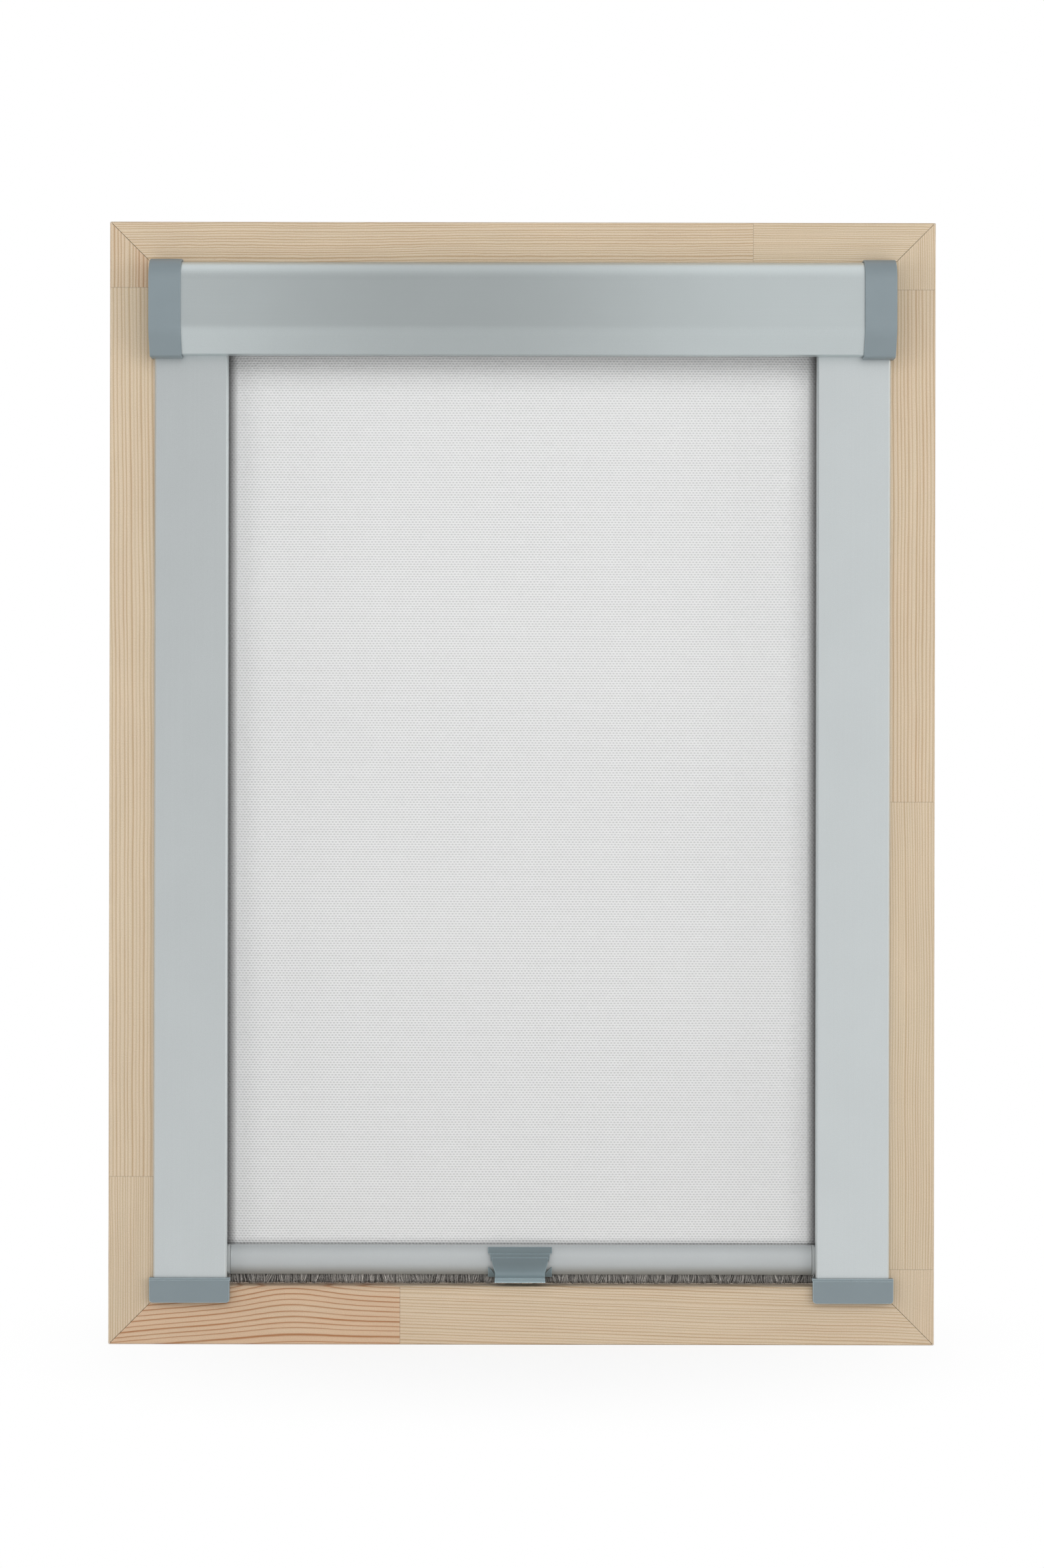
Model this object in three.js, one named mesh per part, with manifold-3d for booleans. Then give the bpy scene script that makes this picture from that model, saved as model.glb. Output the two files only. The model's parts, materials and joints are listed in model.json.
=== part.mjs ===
// A spring roller blind for a roof window, mounted on the pine frame of the window.
//
// Two aluminium side rails stand in the opening and guide the edges of the fabric.
// A cassette across the top holds the roller, whose torsion spring winds the fabric up.
// A bottom bar with a pull handle runs in the rails, and spring-pressed brake pads in its
// end shoes keep it wherever it is left. A brush under the bar seals against the frame.
//
// Millimetres. X runs to the right, Z up, and the front faces -Y. Sections are drawn by depth,
// which is the distance in front of the back plane of the pine frame. The origin lies on that
// plane, at the middle of the bottom frame member.

import * as THREE from "three";
import { mergeVertices } from "three/addons/utils/BufferGeometryUtils.js";
import Module from "manifold-3d";

const wasm = await Module();
wasm.setup();

// Clearances
const fit = 0.3; // between two pieces that touch
const slide = 0.4; // between a sliding piece and its guide
const overrun = 5; // how far a cut runs past the surface that it opens
const weld = 0.5; // how far joined halves of one moulding run into each other

// Pine frame
const openingWidth = 532;
const openingHeight = 755;
const memberWidth = 44;
const memberDepth = 30;
const memberArris = 0.8;
const mitreGap = 0.3;

// Side rails
const railInset = 45; // how far a rail reaches into the opening
const railLap = 10; // how far its flange laps over the pine
const railProud = 3.6; // its face in front of the pine's face
const railWall = 1.5;
const railBevel = 1.2;
const chamberDepth = 6.6;
const channelDepth = 14;

// Rail end caps
const railCapWall = 2;
const railCapCheek = 2.6; // its wall beside the pine
const railCapDrop = 12; // how far the cap hangs below the opening
const railCapHeight = 18.6;
const railCapRadius = 3;
const railCapRim = 2; // height of the raised rim along its upper edge
const railCapRimProud = 0.4;
const railPlugLength = 12;

// Screws
const screwRadius = 1.75;
const screwHeadRadius = 3.5;
const screwHeadHeight = 2.3;
const screwBite = 17; // length in the pine
const railScrewShares = [0.08, 0.5, 0.92]; // places along the rail
const cassetteScrewShares = [-0.84, -0.28, 0.28, 0.84]; // places along half of the cassette

// Fabric and roller
const clothThickness = 0.5;
const clothTuck = 24; // how far the fabric reaches into each rail
const spareTurns = 2; // turns left on the roller when the blind is closed
const windPitch = 1;
const barTravel = 665;
const tubeRadius = 11;
const tubeWall = 1;
const tubeKeyWidth = 1.6;
const tubeKeyHeight = 1.2;
const rollRoom = 1.2; // air round the full roll
const plugLength = 18;
const plugFlange = 2;
const pinRadius = 3;

// Torsion spring and the arbor that it winds against
const arborLength = 142;
const arborSquare = 5;
const arborCollarRadius = 6;
const arborCollarLength = 5;
const springWire = 1.2;
const springRadius = 6.6;
const springCurls = 22;

// Cassette
const coverHeight = 70;
const coverLap = 12.7; // how far it covers the top frame member
const coverReach = 26; // how far it stands in front of the pine
const coverWall = 1.5;
const coverBrowDepth = 18; // size of the curve from its top to its front
const coverBrowHeight = 16;
const coverBend = 16.5; // height of the bend from the front face to the lower face
const coverBendReach = 5; // how far that bend runs each way
const coverChin = 11.5; // how far its lower edge stands in front of the rails
const coverLipRadius = 1.2;

// Cassette end caps
const cassetteCapWall = 1.8;
const cassetteCapCover = 7.5; // how far its rim laps over the cover
const cassetteCapSide = 2;
const bossRadius = 7;
const bossLength = 12;

// Bottom bar
const barHeight = 22.3;
const barDepth = 12;
const barBulge = 4; // how far its front is arched
const barWall = 1.3;
const barEndGap = 2.3; // bare shoe that shows between bar and rail
const grooveHeight = 1; // of the groove milled in its front behind the handle
const grooveDepth = 0.6;
const grooveTop = 2.2; // wall above the groove
const lipHeight = 1.35; // thickness of the lips of both slots
const hemRodRadius = 1.1;
const hemSlot = 1.2;

// Brush
const brushReach = 7.15; // free length below the bar
const brushSetback = 1.5; // how far it stands behind the fabric
const brushBackWidth = 4.4;
const brushBackHeight = 1;
const brushSlot = 3.2;
const strandRadius = 0.42;
const strandPitch = 2.7;
const strandRowGap = 1.5;
const strandLean = 0.75;
const strandRagged = 0.9; // how much shorter the shortest strand is

// Bar shoes and brakes
const shoePlugLength = 13;
const tongueLength = 38;
const tongueHeight = 20.6;
const tongueRadius = 1.5;
const padLength = 21.4;
const padHeight = 14.4;
const padThickness = 3;
const padSetIn = 9; // from the rail's inner edge
const pocketFloor = 2.2;
const brakeWire = 0.9;
const brakeRadius = 3.6;
const brakeCurls = 4;

// Pull handle
const gripWidth = 48;
const gripShift = 0.9; // how far left of the middle it sits
const gripTop = 9.8; // its upper edge above the middle of the bar
const gripBottom = 12.9; // its hook below the middle of the bar
const gripWall = 1.6;
const noseHeight = 0.4;
const noseInset = 2; // how far its nose and the groove end inside its ends
const ledgeHeight = 5.3; // top of the thicker band above the middle of the bar
const bandProud = 1;
const bandInset = 1.4; // how far its ends stand in from the ends of the clip
const tipDrop = 1; // the pointed ends of the band below the middle of the bar
const tipInset = 2.2;
const notchWidth = 0.8;
const notchHeight = 1.7; // the notch beside a point, above the middle of the bar
const hookReach = 2;
const lipReach = 9;
const lipDrop = 15.4; // lower edge of the lip below the middle of the bar
const lipFace = 3.6;
const lipChamfer = 0.6;
const webTop = 2.5; // upper edge of the web above the middle of the bar
const webProud = 0.7; // its face in front of the band
const webWall = 1.7;
const webChamfer = 0.4;
const webCurveDrop = 9.3; // where the face of the web turns out into the lip
const webTopHalf = 21.1;
const webWaistHalf = 18.4;
const lipHalf = 19;
const webWaistDrop = 8.8;
const shellHalf = 19.6; // half of the clip that stays whole behind the web
const finTopDrop = 5.1;
const finRootDrop = 10.5;
const finHollowShares = [0.2, 0.45]; // deepest point of the fin's hollow edge

// Facets
const curveSteps = 24;
const rodSides = 20;
const tubeSides = 32;
const screwSides = 10;
const arcSteps = 14;
const windSteps = 24;
const wireSides = 5;
const curlSteps = 8;

// Places worked out from the sizes above
const openingHalf = openingWidth / 2;
const openingBottom = memberWidth / 2;
const openingTop = openingBottom + openingHeight;
const onPine = memberDepth + fit;

const railInner = openingHalf - railInset;
const railOuter = openingHalf + railLap;
const railSide = openingHalf - fit;
const railFace = memberDepth + railProud;
const chamberFront = railFace - railWall;
const chamberBack = chamberFront - chamberDepth;
const channelFront = chamberBack - railWall;
const channelBack = channelFront - channelDepth;
const railBack = channelBack - railWall;
const fabricPlane = (channelBack + channelFront) / 2;
const railCapFloor = openingBottom + fit;
const railBottom = railCapFloor + railCapWall + fit;

const clothHalf = railInner + clothTuck;
const windRadius = tubeRadius + fit + clothThickness / 2 + spareTurns * windPitch;
const rollerDepth = fabricPlane + windRadius;
const fullRollRadius = Math.hypot(
  tubeRadius + spareTurns * clothThickness,
  Math.sqrt((barTravel * clothThickness) / Math.PI),
);
const rollerHeight = openingTop - fit - coverWall - rollRoom - fullRollRadius;
const railTop = rollerHeight - fullRollRadius - rollRoom;

const coverTop = openingTop + coverLap;
const coverBottom = coverTop - coverHeight;
const coverFront = memberDepth + coverReach;
const onRail = railFace + fit;
const capOuter = railOuter + fit + fit + cassetteCapSide;
const capPlate = openingHalf - fit - coverWall - cassetteCapWall;
const coverHalf = capPlate - fit;
const capInner = coverHalf - cassetteCapCover;
const shelfUnder = rollerHeight + fullRollRadius + rollRoom;
const rearWallFront = rollerDepth - fullRollRadius - rollRoom;

const barCentre = openingBottom + fit + brushReach + barHeight / 2;
const barHalfHeight = barHeight / 2;
const barHalf = railInner - barEndGap;
const barBack = fabricPlane - barDepth / 2;
const barFront = fabricPlane + barDepth / 2;
const barArc = (barHalfHeight ** 2 + barBulge ** 2) / (2 * barBulge);
const barArcCentre = barFront - barArc;
const brushPlane = fabricPlane - brushSetback;

const plain = (colour, roughness, metalness) =>
  new THREE.MeshStandardMaterial({ color: colour, roughness, metalness });
const materials = {
  pine: plain(0xdcc79f, 0.6, 0),
  rail: plain(0xbac3c3, 0.35, 0.9),
  cover: plain(0xafb9ba, 0.35, 0.9),
  capPlastic: plain(0x8694a0, 0.5, 0),
  cloth: plain(0xe4e4e4, 0.95, 0),
  steel: plain(0xb8b8b4, 0.3, 1),
  springSteel: plain(0x8d8f90, 0.35, 1),
  nylon: plain(0xe8e8e2, 0.5, 0),
  shoePlastic: plain(0xb2b7b8, 0.5, 0),
  brush: plain(0x67635e, 0.9, 0),
  pad: plain(0x3c3d3e, 0.8, 0),
};

// A mesh's geometry as a solid that can be joined and cut.
function solidOf(geometry) {
  const loose = geometry.index ? geometry.toNonIndexed() : geometry;
  const bare = new THREE.BufferGeometry();
  bare.setAttribute("position", loose.getAttribute("position"));
  const merged = mergeVertices(bare);
  return new wasm.Manifold(
    new wasm.Mesh({
      numProp: 3,
      vertProperties: merged.getAttribute("position").array,
      triVerts: new Uint32Array(merged.index.array),
    }),
  );
}

function geometryOf(solid) {
  const { vertProperties, triVerts } = solid.getMesh();
  const geometry = new THREE.BufferGeometry();
  geometry.setAttribute("position", new THREE.BufferAttribute(vertProperties, 3));
  geometry.setIndex(new THREE.BufferAttribute(triVerts, 1));
  geometry.computeVertexNormals();
  return geometry;
}

// An outline from points, with the first closed onto the last.
function outline(points) {
  return new THREE.Shape(points.map(([u, v]) => new THREE.Vector2(u, v)));
}

function rectangle(u0, u1, v0, v1) {
  return outline([
    [u0, v0],
    [u1, v0],
    [u1, v1],
    [u0, v1],
  ]);
}

// Runs an outline for a length. The three axes say where its u, its v and its length point.
function run(shape, axes, start, length) {
  const options = { depth: length, bevelEnabled: false, curveSegments: arcSteps };
  const geometry = new THREE.ExtrudeGeometry(shape, options);
  geometry.applyMatrix4(new THREE.Matrix4().makeBasis(...axes));
  return solidOf(geometry.translate(start.x, start.y, start.z));
}

const right = new THREE.Vector3(1, 0, 0);
const left = new THREE.Vector3(-1, 0, 0);
const front = new THREE.Vector3(0, -1, 0);
const up = new THREE.Vector3(0, 0, 1);
const down = new THREE.Vector3(0, 0, -1);

// A section of depth and height that runs from x0 to x1.
function runX(shape, x0, x1) {
  return run(shape, [front, up, left], new THREE.Vector3(x1, 0, 0), x1 - x0);
}

// A section of x and depth that runs from z0 to z1.
function runZ(shape, z0, z1) {
  return run(shape, [right, front, down], new THREE.Vector3(0, 0, z1), z1 - z0);
}

// A front view of x and height that runs from depth d0 to d1.
function runDepth(shape, d0, d1) {
  return run(shape, [right, up, front], new THREE.Vector3(0, -d0, 0), d1 - d0);
}

function block(x0, x1, d0, d1, z0, z1) {
  return runZ(rectangle(x0, x1, d0, d1), z0, z1);
}

// A round rod along X, centred on a depth and a height.
function rodX(radius, x0, x1, depth, height, sides = rodSides) {
  const rod = new THREE.CylinderGeometry(radius, radius, x1 - x0, sides);
  rod.rotateZ(Math.PI / 2);
  rod.translate((x0 + x1) / 2, -depth, height);
  return solidOf(rod);
}

// A round rod through the depth.
function rodDepth(radius, d0, d1, x, height, sides = rodSides) {
  const rod = new THREE.CylinderGeometry(radius, radius, d1 - d0, sides);
  rod.translate(x, -(d0 + d1) / 2, height);
  return solidOf(rod);
}

// Shifts an open path sideways, to the right of its direction, with mitred corners.
function shifted(points, distance) {
  const normal = ([u0, v0], [u1, v1]) =>
    new THREE.Vector2(v1 - v0, u0 - u1).normalize();
  return points.map(([u, v], i) => {
    const before = normal(points[Math.max(i - 1, 0)], points[Math.max(i, 1)]);
    const last = points.length - 1;
    const after = normal(points[Math.min(i, last - 1)], points[Math.min(i + 1, last)]);
    const mitre = before.clone().add(after).normalize();
    const reach = distance / mitre.dot(before);
    return [u + mitre.x * reach, v + mitre.y * reach];
  });
}

// A wall of one thickness, which lies to the right of an open path.
function ribbon(points, thickness) {
  return outline([...points, ...shifted(points, thickness).reverse()]);
}

// Points on an arc of the bar's front, between two heights from the middle of the bar.
function frontArc(radius, low, high) {
  const from = Math.asin(low / radius);
  const to = Math.asin(high / radius);
  return Array.from({ length: arcSteps + 1 }, (_, i) => {
    const angle = from + ((to - from) * i) / arcSteps;
    return [barArcCentre + radius * Math.cos(angle), radius * Math.sin(angle)];
  });
}

const raised = (points, height) => points.map(([u, v]) => [u, v + height]);

function mesh(name, solid, material) {
  const piece = new THREE.Mesh(geometryOf(solid), material);
  piece.name = name;
  return piece;
}

// Pine frame members. Their front edges carry a small arris, and the stiles run to the corners.
function memberSection(inner, outer) {
  const edge = memberDepth - memberArris;
  const shy = Math.sign(outer - inner) * memberArris;
  return [
    [inner, 0],
    [outer, 0],
    [outer, edge],
    [outer - shy, memberDepth],
    [inner + shy, memberDepth],
    [inner, edge],
  ];
}

function crossMember(inner, outer) {
  const section = memberSection(inner, outer).map(([height, depth]) => [depth, height]);
  const short = openingHalf - mitreGap * Math.SQRT2;
  const long = short + memberWidth;
  const sides = outline([
    [-short, inner],
    [short, inner],
    [long, outer],
    [-long, outer],
  ]);
  const length = runX(outline(section), -long, long);
  return length.intersect(runDepth(sides, -overrun, memberDepth + overrun));
}

function topMember() {
  const wood = crossMember(openingTop, openingTop + memberWidth);
  return drilled(wood, cassetteScrewHoles(memberDepth - screwBite));
}

function stile() {
  const outer = openingHalf + memberWidth;
  const low = openingBottom - memberWidth;
  const high = openingTop + memberWidth;
  const face = outline([
    [openingHalf, openingBottom],
    [outer, low],
    [outer, high],
    [openingHalf, openingTop],
  ]);
  const length = runZ(outline(memberSection(openingHalf, outer)), low, high);
  const wood = length.intersect(runDepth(face, -overrun, memberDepth + overrun));
  return drilled(wood, railScrewHoles(openingHalf + screwBite + fit));
}

// Screws. The profile is turned from the tip to the top of the head.
function screw(length) {
  const tip = screwRadius * 2;
  const profile = [
    [0, -length],
    [screwRadius, tip - length],
    [screwRadius, 0],
    [screwHeadRadius, 0],
    [screwHeadRadius, screwHeadHeight / 2],
    [screwHeadRadius / 2, screwHeadHeight],
    [0, screwHeadHeight],
  ];
  const points = profile.map(([r, h]) => new THREE.Vector2(r, h));
  return new THREE.LatheGeometry(points, screwSides);
}

function drilled(solid, holes) {
  return holes.reduce((cut, hole) => cut.subtract(hole), solid);
}

function railScrewHeights() {
  return railScrewShares.map((share) => railBottom + share * (railTop - railBottom));
}

// Holes from inside the channel outwards, as deep as the place given.
function railScrewHoles(end) {
  const radius = screwRadius + fit;
  const start = railSide - railWall - overrun;
  return railScrewHeights().map((height) =>
    rodX(radius, start, end, fabricPlane, height, screwSides),
  );
}

function railScrew(height) {
  const length = screwBite + fit + railWall + fit;
  const turned = screw(length).rotateZ(Math.PI / 2);
  return solidOf(turned.translate(railSide - railWall - fit, -fabricPlane, height));
}

const cassetteScrewHeight = (openingTop + coverTop - coverWall) / 2;

function cassetteScrewPlaces() {
  return cassetteScrewShares.map((share) => share * coverHalf);
}

// Holes from the front inwards, as deep as the depth given.
function cassetteScrewHoles(end) {
  const radius = screwRadius + fit;
  const start = onPine + coverWall + overrun;
  return cassetteScrewPlaces().map((x) =>
    rodDepth(radius, end, start, x, cassetteScrewHeight, screwSides),
  );
}

function cassetteScrew(x) {
  const head = onPine + coverWall + fit;
  const turned = screw(screwBite + head - memberDepth - fit).rotateX(Math.PI);
  return solidOf(turned.translate(x, -head, cassetteScrewHeight));
}

// A side rail. Its hollow face laps over the pine, and the fabric and the bar run in the
// channel behind it.
function sideRail() {
  const lapWall = railOuter - railWall;
  const section = outline([
    [railInner, channelFront],
    [railInner, railFace - railBevel],
    [railInner + railBevel, railFace],
    [railOuter - railBevel, railFace],
    [railOuter, railFace - railBevel],
    [railOuter, onPine],
    [lapWall, onPine],
    [lapWall, chamberFront],
    [railSide, chamberFront],
    [railSide, railBack],
    [railInner, railBack],
    [railInner, channelBack],
    [railSide - railWall, channelBack],
    [railSide - railWall, channelFront],
  ]);
  section.holes.push(
    rectangle(railInner + railWall, railSide - railWall, chamberBack, chamberFront),
  );
  return drilled(runZ(section, railBottom, railTop), railScrewHoles(railSide + fit));
}

// The cap that closes the foot of a rail. A skirt covers the end of the rail's face, a floor
// closes the section, and a plug and a stop stand up from the floor.
function railCap() {
  const inner = railInner - fit - railCapWall;
  const outer = railOuter + fit + railCapCheek;
  const bottom = openingBottom - railCapDrop;
  const top = bottom + railCapHeight;
  const frontFace = onRail + railCapWall;
  const face = new THREE.Shape();
  face.moveTo(inner, top);
  face.lineTo(inner, bottom + railCapRadius);
  face.quadraticCurveTo(inner, bottom, inner + railCapRadius, bottom);
  face.lineTo(outer - railCapRadius, bottom);
  face.quadraticCurveTo(outer, bottom, outer, bottom + railCapRadius);
  face.lineTo(outer, top);
  const floorTop = railCapFloor + railCapWall;
  const hollow = block(
    railInner - fit,
    railOuter + fit,
    onPine - overrun,
    onRail,
    bottom + railCapWall,
    railCapFloor,
  );
  const seat = block(
    railInner - fit,
    railOuter + fit,
    onPine - overrun,
    onRail,
    floorTop,
    top + overrun,
  );
  const rim = block(
    inner - railCapRimProud,
    outer,
    onPine,
    frontFace + railCapRimProud,
    top - railCapRim,
    top,
  );
  const skirt = runDepth(face, onPine, frontFace).add(rim).subtract(hollow).subtract(seat);
  const floor = block(railInner, railSide, railBack, onRail + weld, railCapFloor, floorTop);
  return skirt.add(floor).add(railPlug(floorTop)).add(railStop(floorTop));
}

// The hollow plug that fills the rail's face chamber.
function railPlug(floorTop) {
  const outer = [railInner + railWall + fit, railSide - railWall - fit];
  const depths = [chamberBack + fit, chamberFront - fit];
  const section = rectangle(...outer, ...depths);
  section.holes.push(
    rectangle(
      outer[0] + railWall,
      outer[1] - railWall,
      depths[0] + railWall,
      depths[1] - railWall,
    ),
  );
  return runZ(section, floorTop - weld, floorTop + railPlugLength);
}

// The stop in the channel that the bar's shoe comes down on.
function railStop(floorTop) {
  const top = barCentre - tongueHeight / 2 - fit;
  const tongueEnd = railInner + tongueLength;
  return block(
    (railInner + tongueEnd) / 2,
    tongueEnd,
    channelBack + slide,
    channelFront - slide,
    floorTop - weld,
    top,
  );
}

// The outside of the cassette cover, from the pine over the top and down to the lower lip: a
// curved brow, a flat front, a bend and a flat lower face that leans back to the lip.
function coverPath() {
  const chin = railFace + coverChin;
  const browFrom = coverFront - coverBrowDepth;
  const browTo = coverTop - coverBrowHeight;
  const bend = coverBottom + coverBend;
  const lean = new THREE.Vector2(chin - coverFront, -coverBend).normalize();
  const path = new THREE.Path();
  path.moveTo(onPine, coverTop);
  path.lineTo(browFrom, coverTop);
  path.absellipse(browFrom, browTo, coverBrowDepth, coverBrowHeight, Math.PI / 2, 0, true);
  path.lineTo(coverFront, bend + coverBendReach);
  path.quadraticCurveTo(
    coverFront,
    bend,
    coverFront + lean.x * coverBendReach,
    bend + lean.y * coverBendReach,
  );
  path.lineTo(chin - lean.x * coverLipRadius, coverBottom - lean.y * coverLipRadius);
  path.quadraticCurveTo(chin, coverBottom, chin - coverLipRadius, coverBottom);
  path.lineTo(onRail, coverBottom);
  return path.getPoints(curveSteps / 2).map((p) => [p.x, p.y]);
}

function cassetteCover() {
  return runX(ribbon(coverPath(), coverWall), -coverHalf, coverHalf);
}

// The rear profile. Its flange is screwed to the pine, and its shelf and rear wall close the
// roller's space towards the glass.
function cassetteBack() {
  const path = [
    [onPine + coverWall, coverTop - coverWall - fit],
    [onPine + coverWall, shelfUnder],
    [rearWallFront, shelfUnder],
    [rearWallFront, railTop + fit],
  ];
  const profile = runX(ribbon(path, coverWall), -coverHalf, coverHalf);
  return drilled(profile, cassetteScrewHoles(memberDepth));
}

// A cassette end cap. Its rim laps over the cover, its inner plate reaches into the opening,
// and a boss on that plate carries one end of the roller.
function cassetteCap(socket) {
  const inside = shifted(coverPath(), -fit);
  const outside = shifted(coverPath(), -fit - cassetteCapWall);
  const rim = outline([...outside, ...inside.slice().reverse()]);
  const sill = outside[outside.length - 1];
  const sideWall = outline([...outside, [onPine, sill[1]]]);
  const plate = outline([
    ...outside,
    [onRail, railTop + fit],
    [rearWallFront, railTop + fit],
    [rearWallFront, openingTop - fit],
    [onPine, openingTop - fit],
  ]);
  const bossEnd = capPlate - bossLength;
  const boss = rodX(bossRadius, bossEnd, capPlate + weld, rollerDepth, rollerHeight);
  return runX(rim, capInner, capOuter - weld)
    .add(runX(sideWall, capOuter - cassetteCapSide, capOuter))
    .add(runX(plate, capPlate, capPlate + cassetteCapWall))
    .add(boss)
    .subtract(socket);
}

function roundSocket() {
  const mouth = capPlate - bossLength - overrun;
  return rodX(pinRadius + fit, mouth, capPlate + fit, rollerDepth, rollerHeight);
}

function squareSocket() {
  return squareRod(arborSquare + 2 * fit, capPlate - bossLength - overrun, capPlate + fit);
}

function squareRod(side, x0, x1) {
  const half = side / 2;
  const shape = rectangle(
    rollerDepth - half,
    rollerDepth + half,
    rollerHeight - half,
    rollerHeight + half,
  );
  return runX(shape, x0, x1);
}

// The arbor that the cap holds still. The spring is hooked to the collar at its inner end.
function springArbor() {
  const end = capPlate - fit;
  const start = end - arborLength;
  const squareFrom = clothHalf + fit + plugFlange + fit;
  const rod = rodX(pinRadius, start, squareFrom + weld, rollerDepth, rollerHeight);
  const collar = rodX(
    arborCollarRadius,
    start,
    start + arborCollarLength,
    rollerDepth,
    rollerHeight,
  );
  return rod.add(collar).add(squareRod(arborSquare, squareFrom, end));
}

// The roller tube, with the key inside it that turns its end plugs.
function rollerTube() {
  const bore = tubeRadius - tubeWall;
  const circle = new THREE.Shape().absarc(rollerDepth, rollerHeight, tubeRadius, 0, 2 * Math.PI);
  const half = Math.asin(tubeKeyWidth / 2 / bore);
  const keyTop = bore - tubeKeyHeight;
  const hole = new THREE.Path();
  hole.absarc(rollerDepth, rollerHeight, bore, Math.PI / 2 + half, (5 * Math.PI) / 2 - half);
  hole.lineTo(rollerDepth + tubeKeyWidth / 2, rollerHeight + keyTop);
  hole.lineTo(rollerDepth - tubeKeyWidth / 2, rollerHeight + keyTop);
  circle.holes.push(hole);
  return runX(circle, -clothHalf, clothHalf);
}

// The part of an end plug that sits in the tube, with a slot for the key.
function plugBody() {
  const radius = tubeRadius - tubeWall - fit;
  const slotHalf = tubeKeyWidth / 2 + fit;
  const slotFloor = tubeRadius - tubeWall - tubeKeyHeight - fit;
  const start = clothHalf - plugLength;
  const body = rodX(radius, start, clothHalf + fit + weld, rollerDepth, rollerHeight);
  const flange = rodX(
    tubeRadius,
    clothHalf + fit,
    clothHalf + fit + plugFlange,
    rollerDepth,
    rollerHeight,
    tubeSides,
  );
  const slot = block(
    clothHalf - plugLength - overrun,
    clothHalf + fit,
    rollerDepth - slotHalf,
    rollerDepth + slotHalf,
    rollerHeight + slotFloor,
    rollerHeight + tubeRadius + overrun,
  );
  return body.subtract(slot).add(flange);
}

function idlePlug() {
  const pin = rodX(pinRadius, clothHalf, capPlate - fit, rollerDepth, rollerHeight);
  return plugBody().add(pin);
}

function springPlug() {
  const bore = rodX(
    pinRadius + fit,
    clothHalf - plugLength - overrun,
    clothHalf + plugFlange + overrun,
    rollerDepth,
    rollerHeight,
  );
  return plugBody().subtract(bore);
}

// A wire coil along X, and the check that its curls stay apart.
class Coil extends THREE.Curve {
  constructor(radius, curls, from, to) {
    super();
    Object.assign(this, { radius, curls, from, to });
  }

  getPoint(t, target = new THREE.Vector3()) {
    const angle = 2 * Math.PI * this.curls * t;
    const x = this.from + (this.to - this.from) * t;
    return target.set(x, this.radius * Math.cos(angle), this.radius * Math.sin(angle));
  }
}

// Least distance between points of a wire that lie at least half a curl apart.
function leastGap(points, wire, apart) {
  let least = Infinity;
  points.forEach((a, i) => {
    points.slice(i + apart).forEach((b) => {
      least = Math.min(least, a.distanceTo(b) - wire);
    });
  });
  return least;
}

function coilSpring(name, wire, coil) {
  const steps = coil.curls * curlSteps;
  const section = new THREE.Shape(
    Array.from({ length: wireSides }, (_, i) => {
      const angle = (2 * Math.PI * i) / wireSides;
      return new THREE.Vector2(Math.cos(angle), Math.sin(angle)).multiplyScalar(wire / 2);
    }),
  );
  const gap = leastGap(coil.getPoints(steps), wire, curlSteps / 2);
  console.log(name + ": least gap between curls " + gap.toFixed(2) + " mm");
  return new THREE.ExtrudeGeometry(section, { steps, extrudePath: coil });
}

function torsionSpring() {
  const inset = springWire / 2 + fit;
  const from = capPlate - fit - arborLength + arborCollarLength + inset;
  const to = clothHalf - plugLength - inset;
  const coil = new Coil(springRadius, springCurls, from, to);
  const spring = coilSpring("torsion spring", springWire, coil);
  return solidOf(spring.translate(0, -rollerDepth, rollerHeight));
}

// Fabric. The spare turns wind inwards from the point where the sheet leaves the roller.
function fabricRoll() {
  const steps = spareTurns * windSteps;
  const centre = Array.from({ length: steps + 1 }, (_, i) => {
    const radius = windRadius - (windPitch * i) / windSteps;
    const angle = Math.PI - (2 * Math.PI * i) / windSteps;
    return [rollerDepth + radius * Math.cos(angle), rollerHeight + radius * Math.sin(angle)];
  });
  const points = centre.map(([depth, height]) => new THREE.Vector3(0, depth, height));
  const gap = leastGap(points, clothThickness, windSteps / 2);
  console.log("fabric roll: least gap between turns " + gap.toFixed(2) + " mm");
  const edge = shifted(centre, -clothThickness / 2);
  return runX(ribbon(edge, clothThickness), -clothHalf, clothHalf);
}

// The sheet hangs from the roller to the bar, where a narrower tongue enters the hem slot.
function fabricSheet() {
  const barTop = barCentre + barHalfHeight;
  const tongueHalf = barHalf - barEndGap;
  const tongueEnd = barTop - lipHeight - fit / 2;
  const face = outline([
    [-clothHalf, barTop + fit],
    [-tongueHalf, barTop + fit],
    [-tongueHalf, tongueEnd],
    [tongueHalf, tongueEnd],
    [tongueHalf, barTop + fit],
    [clothHalf, barTop + fit],
    [clothHalf, rollerHeight - fit],
    [-clothHalf, rollerHeight - fit],
  ]);
  return runDepth(face, fabricPlane - clothThickness / 2, fabricPlane + clothThickness / 2);
}

// Bottom bar. Sizes of its two slots, from the middle of the bar.
const hemPocketHalf = hemRodRadius + fit;
const hemPocketTop = barHalfHeight - lipHeight;
const hemPocketBottom = hemPocketTop - 2 * hemPocketHalf;
const brushPocketHalf = brushBackWidth / 2 + fit;
const brushPocketBottom = lipHeight - barHalfHeight;
const brushPocketTop = brushPocketBottom + brushBackHeight + 2 * fit;
const grooveHigh = barHalfHeight - grooveTop;
const grooveLow = grooveHigh - grooveHeight;
const grooveFloor = barArcCentre + Math.sqrt(barArc ** 2 - grooveHigh ** 2) - grooveDepth;
const noseHalf = gripWidth / 2 - noseInset;

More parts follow.
